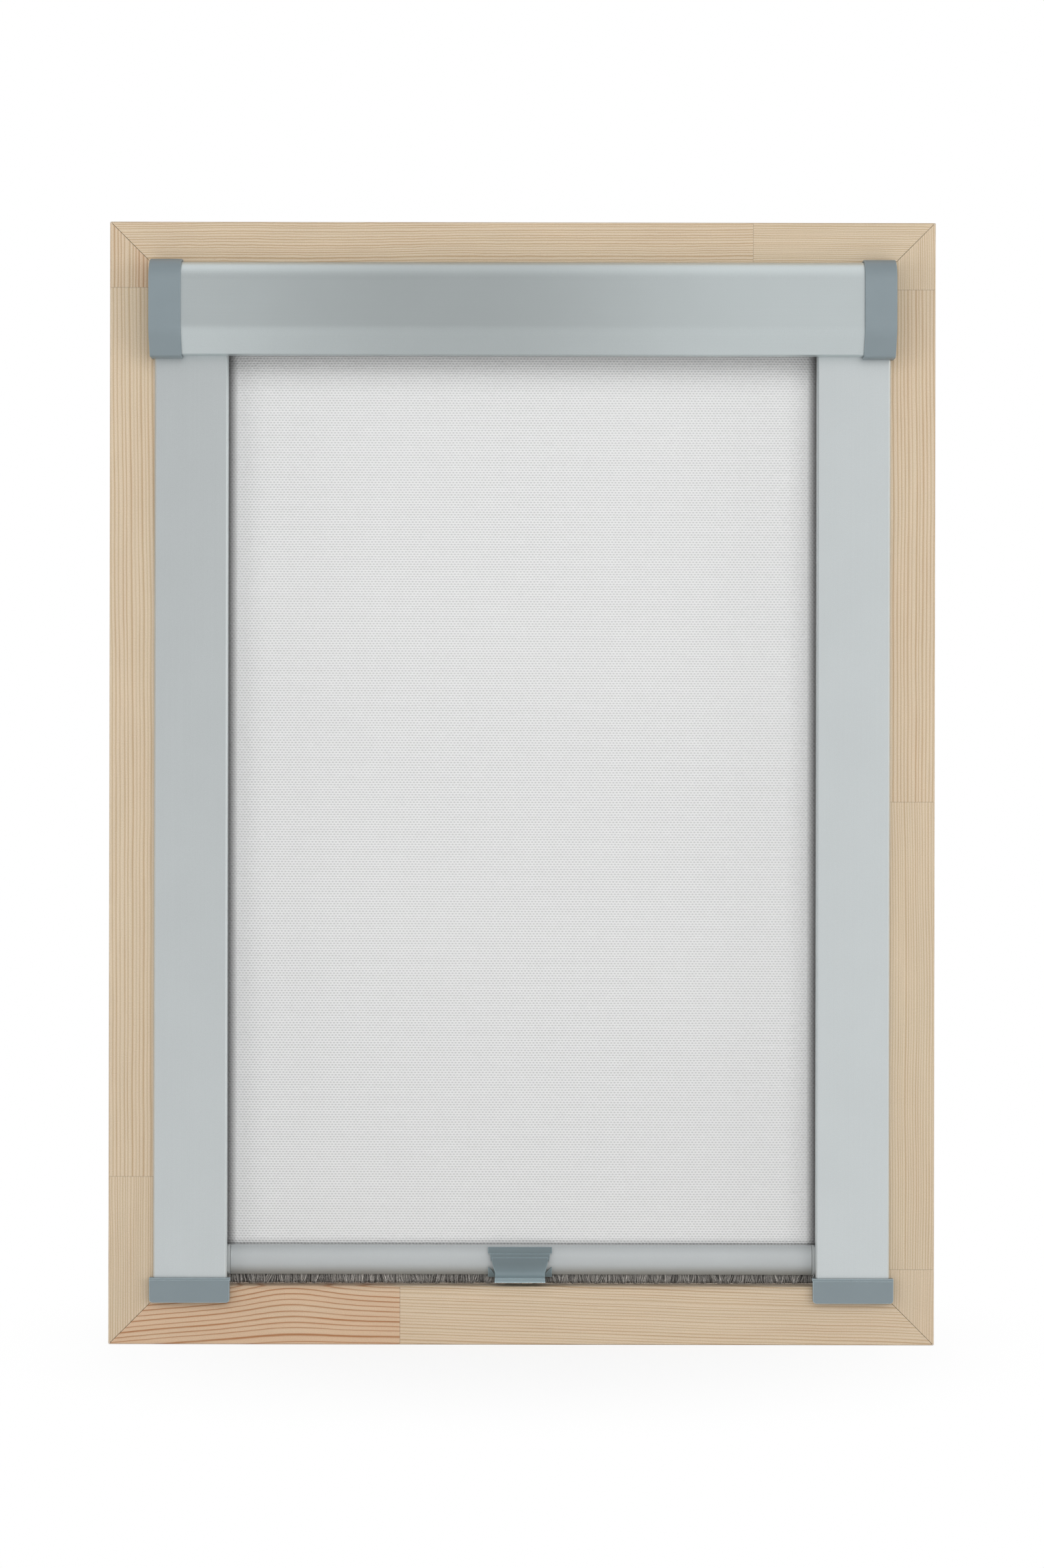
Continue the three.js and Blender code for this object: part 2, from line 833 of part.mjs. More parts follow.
// The hollow middle of the bar, or what fits in it when it is drawn in.
function barChamber(inset) {
  const back = barBack + barWall + inset;
  const low = brushPocketTop + barWall + inset;
  const high = hemPocketBottom - barWall - inset;
  const arc = frontArc(barArc - barWall - inset, low, high);
  return raised([[back, low], ...arc, [back, high]], barCentre);
}

function bottomBar() {
  const h = barHalfHeight;
  const section = outline(
    raised(
      [
        [barBack, -h],
        [brushPlane - brushSlot / 2, -h],
        [brushPlane - brushSlot / 2, brushPocketBottom],
        [brushPlane - brushPocketHalf, brushPocketBottom],
        [brushPlane - brushPocketHalf, brushPocketTop],
        [brushPlane + brushPocketHalf, brushPocketTop],
        [brushPlane + brushPocketHalf, brushPocketBottom],
        [brushPlane + brushSlot / 2, brushPocketBottom],
        [brushPlane + brushSlot / 2, -h],
        ...frontArc(barArc, -h, h),
        [fabricPlane + hemSlot / 2, h],
        [fabricPlane + hemSlot / 2, hemPocketTop],
        [fabricPlane + hemPocketHalf, hemPocketTop],
        [fabricPlane + hemPocketHalf, hemPocketBottom],
        [fabricPlane - hemPocketHalf, hemPocketBottom],
        [fabricPlane - hemPocketHalf, hemPocketTop],
        [fabricPlane - hemSlot / 2, hemPocketTop],
        [fabricPlane - hemSlot / 2, h],
        [barBack, h],
      ],
      barCentre,
    ),
  );
  section.holes.push(outline(barChamber(0)));
  const groove = block(
    -gripShift - noseHalf - fit,
    -gripShift + noseHalf + fit,
    grooveFloor,
    barFront + overrun,
    barCentre + grooveLow,
    barCentre + grooveHigh,
  );
  return runX(section, -barHalf, barHalf).subtract(groove);
}

function hemRod() {
  const height = barCentre + hemPocketBottom + hemPocketHalf;
  return rodX(hemRodRadius, -barHalf, barHalf, fabricPlane, height, screwSides);
}

// The brush. Strands stand in two rows on their backing, lean a little to and fro, and are cut
// to slightly uneven lengths.
function brushStrip() {
  const half = barHalf;
  const bottom = barCentre + brushPocketBottom + fit;
  const backing = block(
    -half,
    half,
    brushPlane - brushBackWidth / 2,
    brushPlane + brushBackWidth / 2,
    bottom,
    bottom + brushBackHeight,
  );
  const count = Math.floor((2 * half - strandPitch) / strandPitch);
  const reach = bottom - (barCentre - barHalfHeight - brushReach);
  let brush = backing;
  for (let i = 0; i < 2 * count; i++) {
    const row = (i % 2) * 2 - 1;
    const x = (Math.floor(i / 2) - (count - 1) / 2) * strandPitch + (row * strandPitch) / 4;
    const sway = Math.sin(i * i + i);
    const length = reach - strandRagged * Math.abs(Math.sin(3 * i));
    brush = brush.add(strand(x, brushPlane + (row * strandRowGap) / 2, bottom, length, sway));
  }
  return brush;
}

function strand(x, depth, root, length, sway) {
  const whole = length + weld;
  const bristle = new THREE.CylinderGeometry(strandRadius, strandRadius / 2, whole, 3);
  bristle.translate(0, -whole / 2, 0);
  bristle.rotateY(sway);
  bristle.rotateX(Math.PI / 2);
  bristle.rotateY(Math.asin((strandLean * sway) / whole));
  return solidOf(bristle.translate(x, -depth, root + weld));
}

// A shoe in the end of the bar. Its collar closes the bar, its plug fills the bar's chamber,
// and its tongue runs in the rail's channel with the brake in a pocket at its back.
function barShoe() {
  const collarFrom = barHalf + fit;
  const tongueFrom = railInner - weld;
  const arc = frontArc(barArc, -barHalfHeight, barHalfHeight);
  const ends = [barHalfHeight, -barHalfHeight].map((height) => [barBack, height]);
  const collar = outline(raised([...arc, ...ends], barCentre));
  const pocket = block(
    padFrom() - fit,
    padFrom() + padLength + fit,
    channelBack - overrun,
    channelFront - slide - pocketFloor,
    barCentre - padHeight / 2 - fit,
    barCentre + padHeight / 2 + fit,
  );
  return runX(outline(barChamber(fit)), barHalf - shoePlugLength, collarFrom + weld)
    .add(runX(collar, collarFrom, railInner))
    .add(tongue(tongueFrom, railInner + tongueLength))
    .subtract(pocket);
}

function tongue(x0, x1) {
  const low = channelBack + slide;
  const high = channelFront - slide;
  const half = tongueHeight / 2;
  const edge = half - tongueRadius;
  const section = outline(
    raised(
      [
        [low, -edge],
        [low + tongueRadius, -half],
        [high - tongueRadius, -half],
        [high, -edge],
        [high, edge],
        [high - tongueRadius, half],
        [low + tongueRadius, half],
        [low, edge],
      ],
      barCentre,
    ),
  );
  return runX(section, x0, x1);
}

function padFrom() {
  return railInner + padSetIn;
}

// The brake pad, and the spring that presses it on the back wall of the channel.
function brakePad() {
  const face = rectangle(
    padFrom(),
    padFrom() + padLength,
    barCentre - padHeight / 2,
    barCentre + padHeight / 2,
  );
  return runDepth(face, channelBack + fit, channelBack + fit + padThickness);
}

function brakeSpring() {
  const inset = brakeWire / 2 + fit;
  const from = channelBack + fit + padThickness + inset;
  const to = channelFront - slide - pocketFloor - inset;
  const coil = new Coil(brakeRadius, brakeCurls, from, to);
  const spring = coilSpring("brake spring", brakeWire, coil).rotateZ(-Math.PI / 2);
  return solidOf(spring.translate(padFrom() + padLength / 2, 0, barCentre));
}

// Pull handle. A clip wraps the front of the bar, hooks under it and bites in its front groove.
// A web comes down from the thicker band and curves out into the lip that the fingers pull.
const clipInner = barArc + fit;
const clipOuter = clipInner + gripWall;
const clipFront = barArcCentre + clipOuter;
const bandFront = clipFront + bandProud;

function gripClip() {
  const under = barHalfHeight + fit;
  const outer = frontArc(clipOuter, -gripBottom, gripTop);
  const inner = frontArc(clipInner, -under, gripTop).reverse();
  const hookBack = outer[0][0] - hookReach;
  const section = outline(
    raised([[hookBack, -under], [hookBack, -gripBottom], ...outer, ...inner], barCentre),
  );
  return runX(section, -gripWidth / 2, gripWidth / 2);
}

function gripNose() {
  const high = grooveHigh - fit;
  const root = barArcCentre + Math.sqrt(clipInner ** 2 - high ** 2) + weld;
  const section = rectangle(
    grooveFloor + fit,
    root,
    barCentre + high - noseHeight,
    barCentre + high,
  );
  return runX(section, -noseHalf, noseHalf);
}

// The thicker band, whose upper edge is a chamfered ledge.
function gripBand() {
  const step = bandProud / 2;
  const section = outline(
    raised(
      [
        [clipFront - gripWall, -tipDrop],
        [bandFront, -tipDrop],
        [bandFront, ledgeHeight - step],
        [bandFront - step, ledgeHeight],
        [clipFront - gripWall, ledgeHeight],
      ],
      barCentre,
    ),
  );
  return runX(section, -gripWidth / 2, gripWidth / 2);
}

// What is cut from each side of the clip, between the pointed end of the band and the fin.
function gripSideCut(sign) {
  const half = gripWidth / 2;
  const tip = half - tipInset;
  const at = (x, height) => [x, barCentre + height];
  const cut = new THREE.Shape();
  cut.moveTo(...at(half + overrun, ledgeHeight));
  cut.lineTo(...at(half - bandInset, ledgeHeight));
  cut.lineTo(...at(tip, -tipDrop));
  cut.lineTo(...at(tip - notchWidth, notchHeight));
  cut.lineTo(...at(shellHalf, notchHeight));
  cut.lineTo(...at(shellHalf, -finRootDrop));
  cut.quadraticCurveTo(
    ...at(
      shellHalf + finHollowShares[0] * (half - shellHalf),
      finHollowShares[1] * (finRootDrop - finTopDrop) - finRootDrop,
    ),
    ...at(half, -finTopDrop),
  );
  cut.lineTo(...at(half + overrun, -finTopDrop));
  const solid = runDepth(cut, barBack, bandFront + overrun);
  return sign > 0 ? solid : solid.mirror([1, 0, 0]);
}

// The web stands in front of the band, narrows to its waist and turns out into the lip.
function gripWeb() {
  const webFront = bandFront + webProud;
  const lipFront = clipFront + lipReach;
  const lipTop = lipFace - lipDrop;
  const section = new THREE.Shape();
  const at = (depth, height) => [depth, barCentre + height];
  section.moveTo(...at(webFront - webWall, webTop));
  section.lineTo(...at(webFront - webChamfer, webTop));
  section.lineTo(...at(webFront, webTop - webChamfer));
  section.lineTo(...at(webFront, -webCurveDrop + webWall));
  section.quadraticCurveTo(...at(webFront, lipTop), ...at(lipFront - webWall, lipTop));
  section.lineTo(...at(lipFront, lipTop - lipChamfer));
  section.lineTo(...at(lipFront, -lipDrop));
  section.lineTo(...at(lipFront - webWall, -lipDrop));
  section.lineTo(...at(lipFront - webWall, lipTop - webWall));
  section.quadraticCurveTo(
    ...at(webFront - webWall, lipTop - webWall),
    ...at(webFront - webWall, -webCurveDrop),
  );
  const face = new THREE.Shape();
  face.moveTo(...at(-webTopHalf, webTop));
  face.quadraticCurveTo(
    ...at(-webTopHalf, (webTop - webWaistDrop) / 2),
    ...at(-webWaistHalf, -webWaistDrop),
  );
  face.lineTo(...at(-lipHalf, -lipDrop));
  face.lineTo(...at(lipHalf, -lipDrop));
  face.lineTo(...at(webWaistHalf, -webWaistDrop));
  face.quadraticCurveTo(
    ...at(webTopHalf, (webTop - webWaistDrop) / 2),
    ...at(webTopHalf, webTop),
  );
  const web = runX(section, -webTopHalf, webTopHalf);
  return web.intersect(runDepth(face, barBack, lipFront + overrun));
}

function pullHandle() {
  return gripClip()
    .add(gripNose())
    .add(gripBand())
    .subtract(gripSideCut(1))
    .subtract(gripSideCut(-1))
    .add(gripWeb())
    .translate([-gripShift, 0, 0]);
}

// Pieces that come once on each side. Those of the left side are mirrored.
function sidePieces(hand, socket) {
  const side = new THREE.Group();
  side.add(mesh(hand + "_frame_stile", stile(), materials.pine));
  side.add(mesh(hand + "_side_rail", sideRail(), materials.rail));
  side.add(mesh(hand + "_rail_cap", railCap(), materials.capPlastic));
  railScrewHeights().forEach((height, i) => {
    side.add(mesh(hand + "_rail_screw_" + (i + 1), railScrew(height), materials.steel));
  });
  side.add(mesh(hand + "_cassette_cap", cassetteCap(socket), materials.capPlastic));
  side.add(mesh(hand + "_bar_shoe", barShoe(), materials.shoePlastic));
  side.add(mesh(hand + "_brake_pad", brakePad(), materials.pad));
  side.add(mesh(hand + "_brake_spring", brakeSpring(), materials.springSteel));
  return side;
}

function middlePieces() {
  const middle = new THREE.Group();
  const bottomMember = crossMember(openingBottom, openingBottom - memberWidth);
  middle.add(mesh("frame_top_member", topMember(), materials.pine));
  middle.add(mesh("frame_bottom_member", bottomMember, materials.pine));
  middle.add(mesh("cassette_cover", cassetteCover(), materials.cover));
  middle.add(mesh("cassette_back", cassetteBack(), materials.rail));
  cassetteScrewPlaces().forEach((x, i) => {
    middle.add(mesh("cassette_screw_" + (i + 1), cassetteScrew(x), materials.steel));
  });
  middle.add(mesh("roller_tube", rollerTube(), materials.rail));
  middle.add(mesh("fabric_roll", fabricRoll(), materials.cloth));
  middle.add(mesh("fabric_sheet", fabricSheet(), materials.cloth));
  middle.add(mesh("bottom_bar", bottomBar(), materials.rail));
  middle.add(mesh("hem_rod", hemRod(), materials.steel));
  middle.add(mesh("brush_strip", brushStrip(), materials.brush));
  middle.add(mesh("pull_handle", pullHandle(), materials.capPlastic));
  return middle;
}

const rightSide = sidePieces("right", roundSocket());
rightSide.add(mesh("idle_plug", idlePlug(), materials.nylon));

const leftSide = sidePieces("left", squareSocket());
leftSide.add(mesh("spring_arbor", springArbor(), materials.steel));
leftSide.add(mesh("spring_plug", springPlug(), materials.nylon));
leftSide.add(mesh("torsion_spring", torsionSpring(), materials.springSteel));
leftSide.scale.x = -1;

const blind = new THREE.Group();
blind.add(middlePieces(), rightSide, leftSide);

export default blind;
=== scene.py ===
# %% [markdown]
# # A skylight window blind
# The object is a spring roller blind for a roof window, fixed on the window's pine frame.
# Its hard parts come ready made from the CAD model, in metres, each as one object at the origin
# with its place in its mesh. This lesson gives each of them its finish and makes the soft parts,
# which are the cloth and the brush, as new meshes in the same places.

# %% Load the frame
import json
import math
import random

import bpy
from mathutils import Matrix, Vector, noise


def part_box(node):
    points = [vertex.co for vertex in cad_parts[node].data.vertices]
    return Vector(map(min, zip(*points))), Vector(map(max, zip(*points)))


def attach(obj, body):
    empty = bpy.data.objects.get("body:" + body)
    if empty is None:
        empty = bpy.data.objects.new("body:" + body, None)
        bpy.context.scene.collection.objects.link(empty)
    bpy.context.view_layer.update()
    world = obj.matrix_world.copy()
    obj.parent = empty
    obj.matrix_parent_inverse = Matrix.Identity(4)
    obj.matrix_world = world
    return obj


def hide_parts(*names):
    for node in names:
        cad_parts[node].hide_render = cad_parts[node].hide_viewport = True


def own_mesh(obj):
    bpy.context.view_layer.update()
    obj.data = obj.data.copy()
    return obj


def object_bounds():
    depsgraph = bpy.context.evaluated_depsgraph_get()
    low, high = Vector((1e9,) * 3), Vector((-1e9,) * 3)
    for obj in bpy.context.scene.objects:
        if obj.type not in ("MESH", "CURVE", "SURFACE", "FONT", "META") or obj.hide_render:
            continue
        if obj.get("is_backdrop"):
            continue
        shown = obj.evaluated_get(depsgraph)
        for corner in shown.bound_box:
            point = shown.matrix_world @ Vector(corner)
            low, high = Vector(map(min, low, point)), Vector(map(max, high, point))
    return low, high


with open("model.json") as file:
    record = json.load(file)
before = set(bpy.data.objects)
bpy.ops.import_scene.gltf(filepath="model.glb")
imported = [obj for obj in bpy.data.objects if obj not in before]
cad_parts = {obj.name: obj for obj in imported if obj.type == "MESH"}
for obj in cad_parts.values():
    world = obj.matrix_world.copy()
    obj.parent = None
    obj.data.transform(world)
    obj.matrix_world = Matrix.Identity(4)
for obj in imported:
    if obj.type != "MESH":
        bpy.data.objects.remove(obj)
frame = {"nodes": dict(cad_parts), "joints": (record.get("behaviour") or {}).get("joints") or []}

cad_low, cad_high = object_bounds()
nodes = frame["nodes"]
MM = 0.001
print("CAD box in mm:", [round(side / MM, 1) for side in cad_high - cad_low])

# %% [markdown]
# ## Camera
# The photo is a straight front view from about 2.8 m, so its lines hardly converge. A scale of
# 0.5 mm per pixel in the plane of the pine's face fixes the lens: the long side of the picture
# then takes in 1177.5 mm at that distance. Blender applies the sensor's width to the long side.
# The photo's level lines fall a little to the right, which a very small roll follows.

# %% Camera
photo_height = 2355  # pixels
photo_pixel = 0.5 * MM
sensor_side = 36  # mm
camera_distance = 2.8
camera_roll = math.radians(-0.1)
aim_x, aim_z = 0.0, 399.15 * MM

pine_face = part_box("left_frame_stile")[0].y
lens = bpy.data.cameras.new("camera")
lens.sensor_width = sensor_side
lens.lens = sensor_side * camera_distance / (photo_height * photo_pixel)
camera = bpy.data.objects.new("camera", lens)
camera.matrix_world = (
    Matrix.Translation((aim_x, pine_face - camera_distance, aim_z))
    @ Matrix.Rotation(camera_roll, 4, "Y")
    @ Matrix.Rotation(math.radians(90), 4, "X")
)
bpy.context.scene.collection.objects.link(camera)
bpy.context.scene.camera = camera
print("lens of", round(lens.lens, 1), "mm")

# %% [markdown]
# ## Shader maths
# A finish is a small program of nodes. Wiring nodes one by one is hard to read, so a field wraps
# one output socket and turns Python's operators into Math nodes. A finish makes every other node
# with one method, which takes the node's type, its settings, and the values of its sockets.
# Surfaces are described in millimetres, so the place of a point is scaled up first.

# %% Fields
class Field:
    """One output socket. Arithmetic with it adds Math nodes."""

    def __init__(self, finish, socket):
        self.finish = finish
        self.socket = socket

    def math(self, operation, *values):
        return self.finish.node("ShaderNodeMath", {"operation": operation}, values)

    def __add__(self, other):
        return self.math("ADD", self, other)

    def __sub__(self, other):
        return self.math("SUBTRACT", self, other)

    def __rsub__(self, other):
        return self.math("SUBTRACT", other, self)

    def __mul__(self, other):
        return self.math("MULTIPLY", self, other)

    def __truediv__(self, other):
        return self.math("DIVIDE", self, other)

    def __pow__(self, other):
        return self.math("POWER", self, other)

    def __neg__(self):
        return self.math("MULTIPLY", self, -1)

    def __gt__(self, other):
        return self.math("GREATER_THAN", self, other)

    def __abs__(self):
        return self.math("ABSOLUTE", self)

    __radd__ = __add__
    __rmul__ = __mul__

    def cosine(self):
        return self.math("COSINE", self)

    def remainder(self):
        """What is left above the whole number below it."""
        return self.math("FRACT", self)

    def zigzag(self, height):
        """Rises to height and falls back to 0, over and over."""
        return self.math("PINGPONG", self, height)

    def between(self, low, high, rise="SMOOTHSTEP"):
        """0 at low, 1 at high, and a soft rise from one to the other."""
        settings = {"interpolation_type": rise}
        return self.finish.node("ShaderNodeMapRange", settings, {0: self, 1: low, 2: high})


# %% Finishes
# The cosine between a rounded normal and the face's own: on an edge, and on the flat beside it.
turned_at_edge, turned_on_flat = 0.84, 0.998


def linear(red, green, blue):
    """A display colour, 0 to 255, as the linear colour that a shader takes."""
    def level(value):
        share = value / 255
        return share / 12.92 if share <= 0.04045 else ((share + 0.055) / 1.055) ** 2.4

    return (level(red), level(green), level(blue), 1)


class Finish:
    """A material, or another tree of shader nodes, while it is being written."""

    def __init__(self, owner):
        self.owner = owner
        owner.use_nodes = True
        self.tree = owner.node_tree
        self.tree.nodes.clear()

    def find(self, sockets, key):
        shown = [socket for socket in sockets if socket.enabled]
        if isinstance(key, int):
            return shown[key]
        return next(socket for socket in shown if socket.name == key)

    def node(self, kind, settings=None, values=(), output=0):
        node = self.tree.nodes.new(kind)
        for key, value in (settings or {}).items():
            if key == "stops":
                ramp = node.color_ramp.elements
                for place, _ in value[len(ramp):]:
                    ramp.new(place)
                for element, (place, level) in zip(ramp, value):
                    element.position = place
                    element.color = (level, level, level, 1)
            else:
                setattr(node, key, value)
        pairs = values.items() if isinstance(values, dict) else enumerate(values)
        for key, value in pairs:
            socket = self.find(node.inputs, key)
            if isinstance(value, Field):
                self.tree.links.new(value.socket, socket)
            else:
                socket.default_value = value
        return Field(self, self.find(node.outputs, output)) if node.outputs else node

    def place(self):
        """Where a point of the surface is, in millimetres: right, front and up."""
        at = self.node("ShaderNodeTexCoord", output="Object")
        at = self.node("ShaderNodeVectorMath", {"operation": "SCALE"}, {0: at, "Scale": 1 / MM})
        x, y, z = (self.node("ShaderNodeSeparateXYZ", None, [at], axis) for axis in "XYZ")
        return x, -y, z

    def grain(self, x, y, z, size, detail=2, roughness=0.5):
        """Soft noise round 0, whose spots are about as large as size says, in millimetres."""
        at = self.node("ShaderNodeCombineXYZ", None, [x / size[0], y / size[1], z / size[2]])
        values = {"Vector": at, "Scale": 1, "Detail": detail, "Roughness": roughness}
        return self.node("ShaderNodeTexNoise", None, values) - 0.5

    def mix(self, share, low, high, blend="MIX"):
        settings = {"data_type": "RGBA", "blend_type": blend}
        return self.node("ShaderNodeMix", settings, [share, low, high])

    def shade(self, colour, level):
        """The colour times a level."""
        return self.mix(1, colour, level, "MULTIPLY")

    def relief(self, height):
        """The normal of a surface with this relief, in millimetres."""
        values = {"Strength": 1, "Distance": MM, "Height": height}
        return self.node("ShaderNodeBump", None, values)

    def near_edge(self, reach):
        """1 on a convex or hollow edge, and 0 from this reach on, in millimetres."""
        rounded = self.node("ShaderNodeBevel", {"samples": 6}, {"Radius": reach * MM})
        straight = self.node("ShaderNodeNewGeometry", None, {}, "Normal")
        settings = {"operation": "DOT_PRODUCT"}
        turned = self.node("ShaderNodeVectorMath", settings, [rounded, straight], "Value")
        return 1 - turned.between(turned_at_edge, turned_on_flat)

    def surface(self, **values):
        """Closes the material with the main shader. An underscore stands for a space."""
        values = {key.replace("_", " "): value for key, value in values.items()}
        shader = self.node("ShaderNodeBsdfPrincipled", None, values)
        self.node("ShaderNodeOutputMaterial", None, [shader])
        return self.owner


def material(name):
    return Finish(bpy.data.materials.new(name))


# %% [markdown]
# ## Light and floor
# The photo is lit softly from above, from the front and from both sides, and cut out on white.
# Large area lamps do the first. One more lights the back, and two that graze the object from the
# sides draw a bright line along rounded edges. The white comes from the world and the floor: what
# a camera ray or a mirrored ray meets there is white with a strength of about 1, while the light
# that they send is weaker. Metal mirrors that white and not the lamps. Two darker patches in front
# stand for the room behind the camera, so that a flat metal face looks darker than its edges, and
# the face on the left a little darker than the one on the right. In a mirrored ray the floor is a
# little darker too. Close to the object the floor keeps a soft shadow.

# %% Lamps
middle = (cad_low + cad_high) / 2
# Name, place in metres, width and height in metres, and watts. All of them aim at the middle.
lamps = [
    ("upper_lamp", (0.0, -2.5, 2.0), 3.2, 1.6, 29),
    ("left_lamp", (-2.5, -1.9, 0.9), 1.2, 1.8, 16),
    ("right_lamp", (2.2, -2.2, 0.9), 1.4, 1.8, 20),
    ("front_lamp", (0.3, -3.2, 0.5), 1.6, 1.6, 10),
    ("rear_lamp", (0.0, 2.4, 2.2), 1.8, 1.2, 38),
    ("left_rim_lamp", (-3.0, -0.45, 0.6), 0.7, 1.8, 22),
    ("right_rim_lamp", (3.0, -0.45, 0.6), 0.7, 1.8, 22),
]


def softbox(name, place, width, height, watts):
    lamp = bpy.data.lights.new(name, "AREA")
    lamp.shape = "RECTANGLE"
    lamp.size, lamp.size_y, lamp.energy = width, height, watts
    holder = bpy.data.objects.new(name, lamp)
    holder.location = place
    holder.rotation_euler = (middle - Vector(place)).to_track_quat("-Z", "Y").to_euler()
    holder.visible_glossy = False
    bpy.context.scene.collection.objects.link(holder)


for lamp in lamps:
    softbox(*lamp)
print(len(lamps), "lamps of", sum(lamp[-1] for lamp in lamps), "watts in all")

# %% World
world_light = 0.32
# In which direction a dark patch lies, the cosines of the angles from there at which it starts
# and is full, and how dark it is.
room_patches = [
    ((-0.77, -0.58, 0.25), (0.46, 0.74), 0.66),
    ((-0.04, -0.92, -0.39), (0.86, 0.985), 0.4),
]


def seen(finish):
    """1 for a camera ray, a mirrored ray or a ray through glass, and 0 for any other."""
    rays = ("Is Camera Ray", "Is Glossy Ray", "Is Transmission Ray")
    camera_ray, glossy, through = (
        finish.node("ShaderNodeLightPath", None, {}, ray) for ray in rays
    )
    return camera_ray.math("MAXIMUM", camera_ray, glossy.math("MAXIMUM", glossy, through))


world = bpy.data.worlds.new("studio")
bpy.context.scene.world = world
studio = Finish(world)
direction = studio.node("ShaderNodeTexCoord", output="Generated")
camera_ray = studio.node("ShaderNodeLightPath", None, {}, "Is Camera Ray")
mirrored = 1
for patch, (edge, core), dark in room_patches:
    towards = studio.node(
        "ShaderNodeVectorMath", {"operation": "DOT_PRODUCT"}, [direction, patch], "Value"
    )
    mirrored = mirrored * (1 - towards.between(edge, core) * dark)
shown = seen(studio)
strength = shown * (camera_ray + (1 - camera_ray) * mirrored) + (1 - shown) * world_light
white = (1, 1, 1, 1)
background = studio.node("ShaderNodeBackground", None, {"Color": white, "Strength": strength})
studio.node("ShaderNodeOutputWorld", None, [background])
print("world with light", world_light, "and", len(room_patches), "dark patches")

# %% Floor
floor_reach = 8.0  # metres
floor_gap = 0.2 * MM
shadow_near, shadow_far = 60, 450  # mm from the middle, where the floor's shadow fades out
shadow_share = 0.22
mirrored_floor = 0.82
pale_grey = (0.9, 0.9, 0.9, 1)

mesh = bpy.data.meshes.new("floor")
floor_level = cad_low.z - floor_gap
corners = [
    (floor_reach * x, floor_reach * y, floor_level) for x, y in ((-1, -1), (1, -1), (1, 1), (-1, 1))
]
mesh.from_pydata(corners, [], [(0, 1, 2, 3)])
floor = bpy.data.objects.new("floor", mesh)
bpy.context.scene.collection.objects.link(floor)
floor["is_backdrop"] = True

paint = material("floor_white")
x, front, _ = paint.place()
distance = (x * x + front * front) ** 0.5
own_share = (1 - distance.between(shadow_near, shadow_far)) * shadow_share
camera_ray = paint.node("ShaderNodeLightPath", None, {}, "Is Camera Ray")
strength = camera_ray + (1 - camera_ray) * mirrored_floor
glow = paint.node("ShaderNodeEmission", None, {"Color": white, "Strength": strength})
matt = paint.node("ShaderNodeBsdfDiffuse", None, {"Color": pale_grey})
shader = paint.node("ShaderNodeMixShader", None, [seen(paint) * (1 - own_share), matt, glow])
paint.node("ShaderNodeOutputMaterial", None, [shader])
mesh.materials.append(paint.owner)
print("floor at", round(floor_level / MM, 1), "mm, with a shadow as far as", shadow_far, "mm")

# %% [markdown]
# ## Pine
# Window pine is cut into short blocks that are glued end to end, so grain and tone change at each
# joint. In a block the rings run along the grain. They are cylinders round a pith line that lies
# outside the wood, so the same formula gives thin lines on one side and wide bands on the next.
# A ring is pale where it grew in spring, and darkens to a thin brown line that ends sharply.
# The joint itself is a zigzag through the depth of the wood, which a planed face cuts straight.
# Noises that are long along the grain add slow waves, stripes of tone, fibres and pores.

# %% Pine blocks
class Block:
    """One block of pine: where it ends along the member, in mm, and how it looks."""

    def __init__(
        self, end, seed, ring, pith, tone=0.0, strength=1.0, lean=0.0, bow=0.0, ripple=0.4
    ):
        self.end = end
        self.seed = seed
        self.ring = ring  # distance between rings, mm
        self.pith_across, self.pith_depth = pith
        self.tone = tone  # from straw to red
        self.strength = strength
        self.lean = lean  # drift of the rings, mm per mm
        self.bow = bow  # how far the rings swing out over the bow's length, mm
        self.ripple = ripple  # small waves, mm


def stepped(place, blocks, key, joint):
    """The blocks' values of one kind, each over its own length of the member."""
    values = [getattr(block, key) for block in blocks]
    level = values[0]
    for block, low, high in zip(blocks, values, values[1:]):
        if high != low:
            level = (place + joint > block.end) * (high - low) + level
    return level


# %% Pine finish
straw, straw_line = linear(205, 189, 165), linear(183, 161, 130)
red, red_line = linear(201, 173, 145), linear(162, 115, 78)
finger_length, finger_pitch = 9.0, 4.0  # mm
bow_length = 100  # mm
glue_line, glue_halo, glue_dark = 0.1, 0.5, 0.22
# How dark a ring is, from where it starts to where the next one does.
ring_profile = [
    (0.0, 0.62), (0.08, 0.22), (0.2, 0.0), (0.45, 0.06), (0.65, 0.32), (0.82, 0.85), (0.92, 1.0),
    (1.0, 0.62),
]
# Sizes of the noises in mm: along the grain, across it and into the wood.
wave_size, ripple_size = (110, 40, 40), (13, 5, 5)
stripe_size, wide_stripe_size = (70, 9, 9), (130, 16, 16)
patch_size, cloud_size = (60, 6, 6), (80, 14, 14)
fibre_size, pore_size, speck_size = (26, 0.35, 0.35), (0.9, 0.5, 0.5), (2.4, 1.1, 1.1)
wave_shift, ripple_shift = 31, 17  # mm from one seed to the next
wave_height = 3  # mm
# What changes from ring to ring only: sizes in mm, and how uneven rings and years are.
uneven_size, year_size = (6, 1, 1), (2.6, 1, 1)
uneven_most, year_most = 4, 2.6
stripe_most, wide_stripe_most = 1.6, 0.3
thin_when_red = 1.6  # the lines of a redder block are thinner and start more sharply
fibre_most, cloud_most, pore_most, speck_dark = 0.2, 0.1, 0.36, 0.3
fibre_relief, line_relief = 0.03, 0.003  # mm


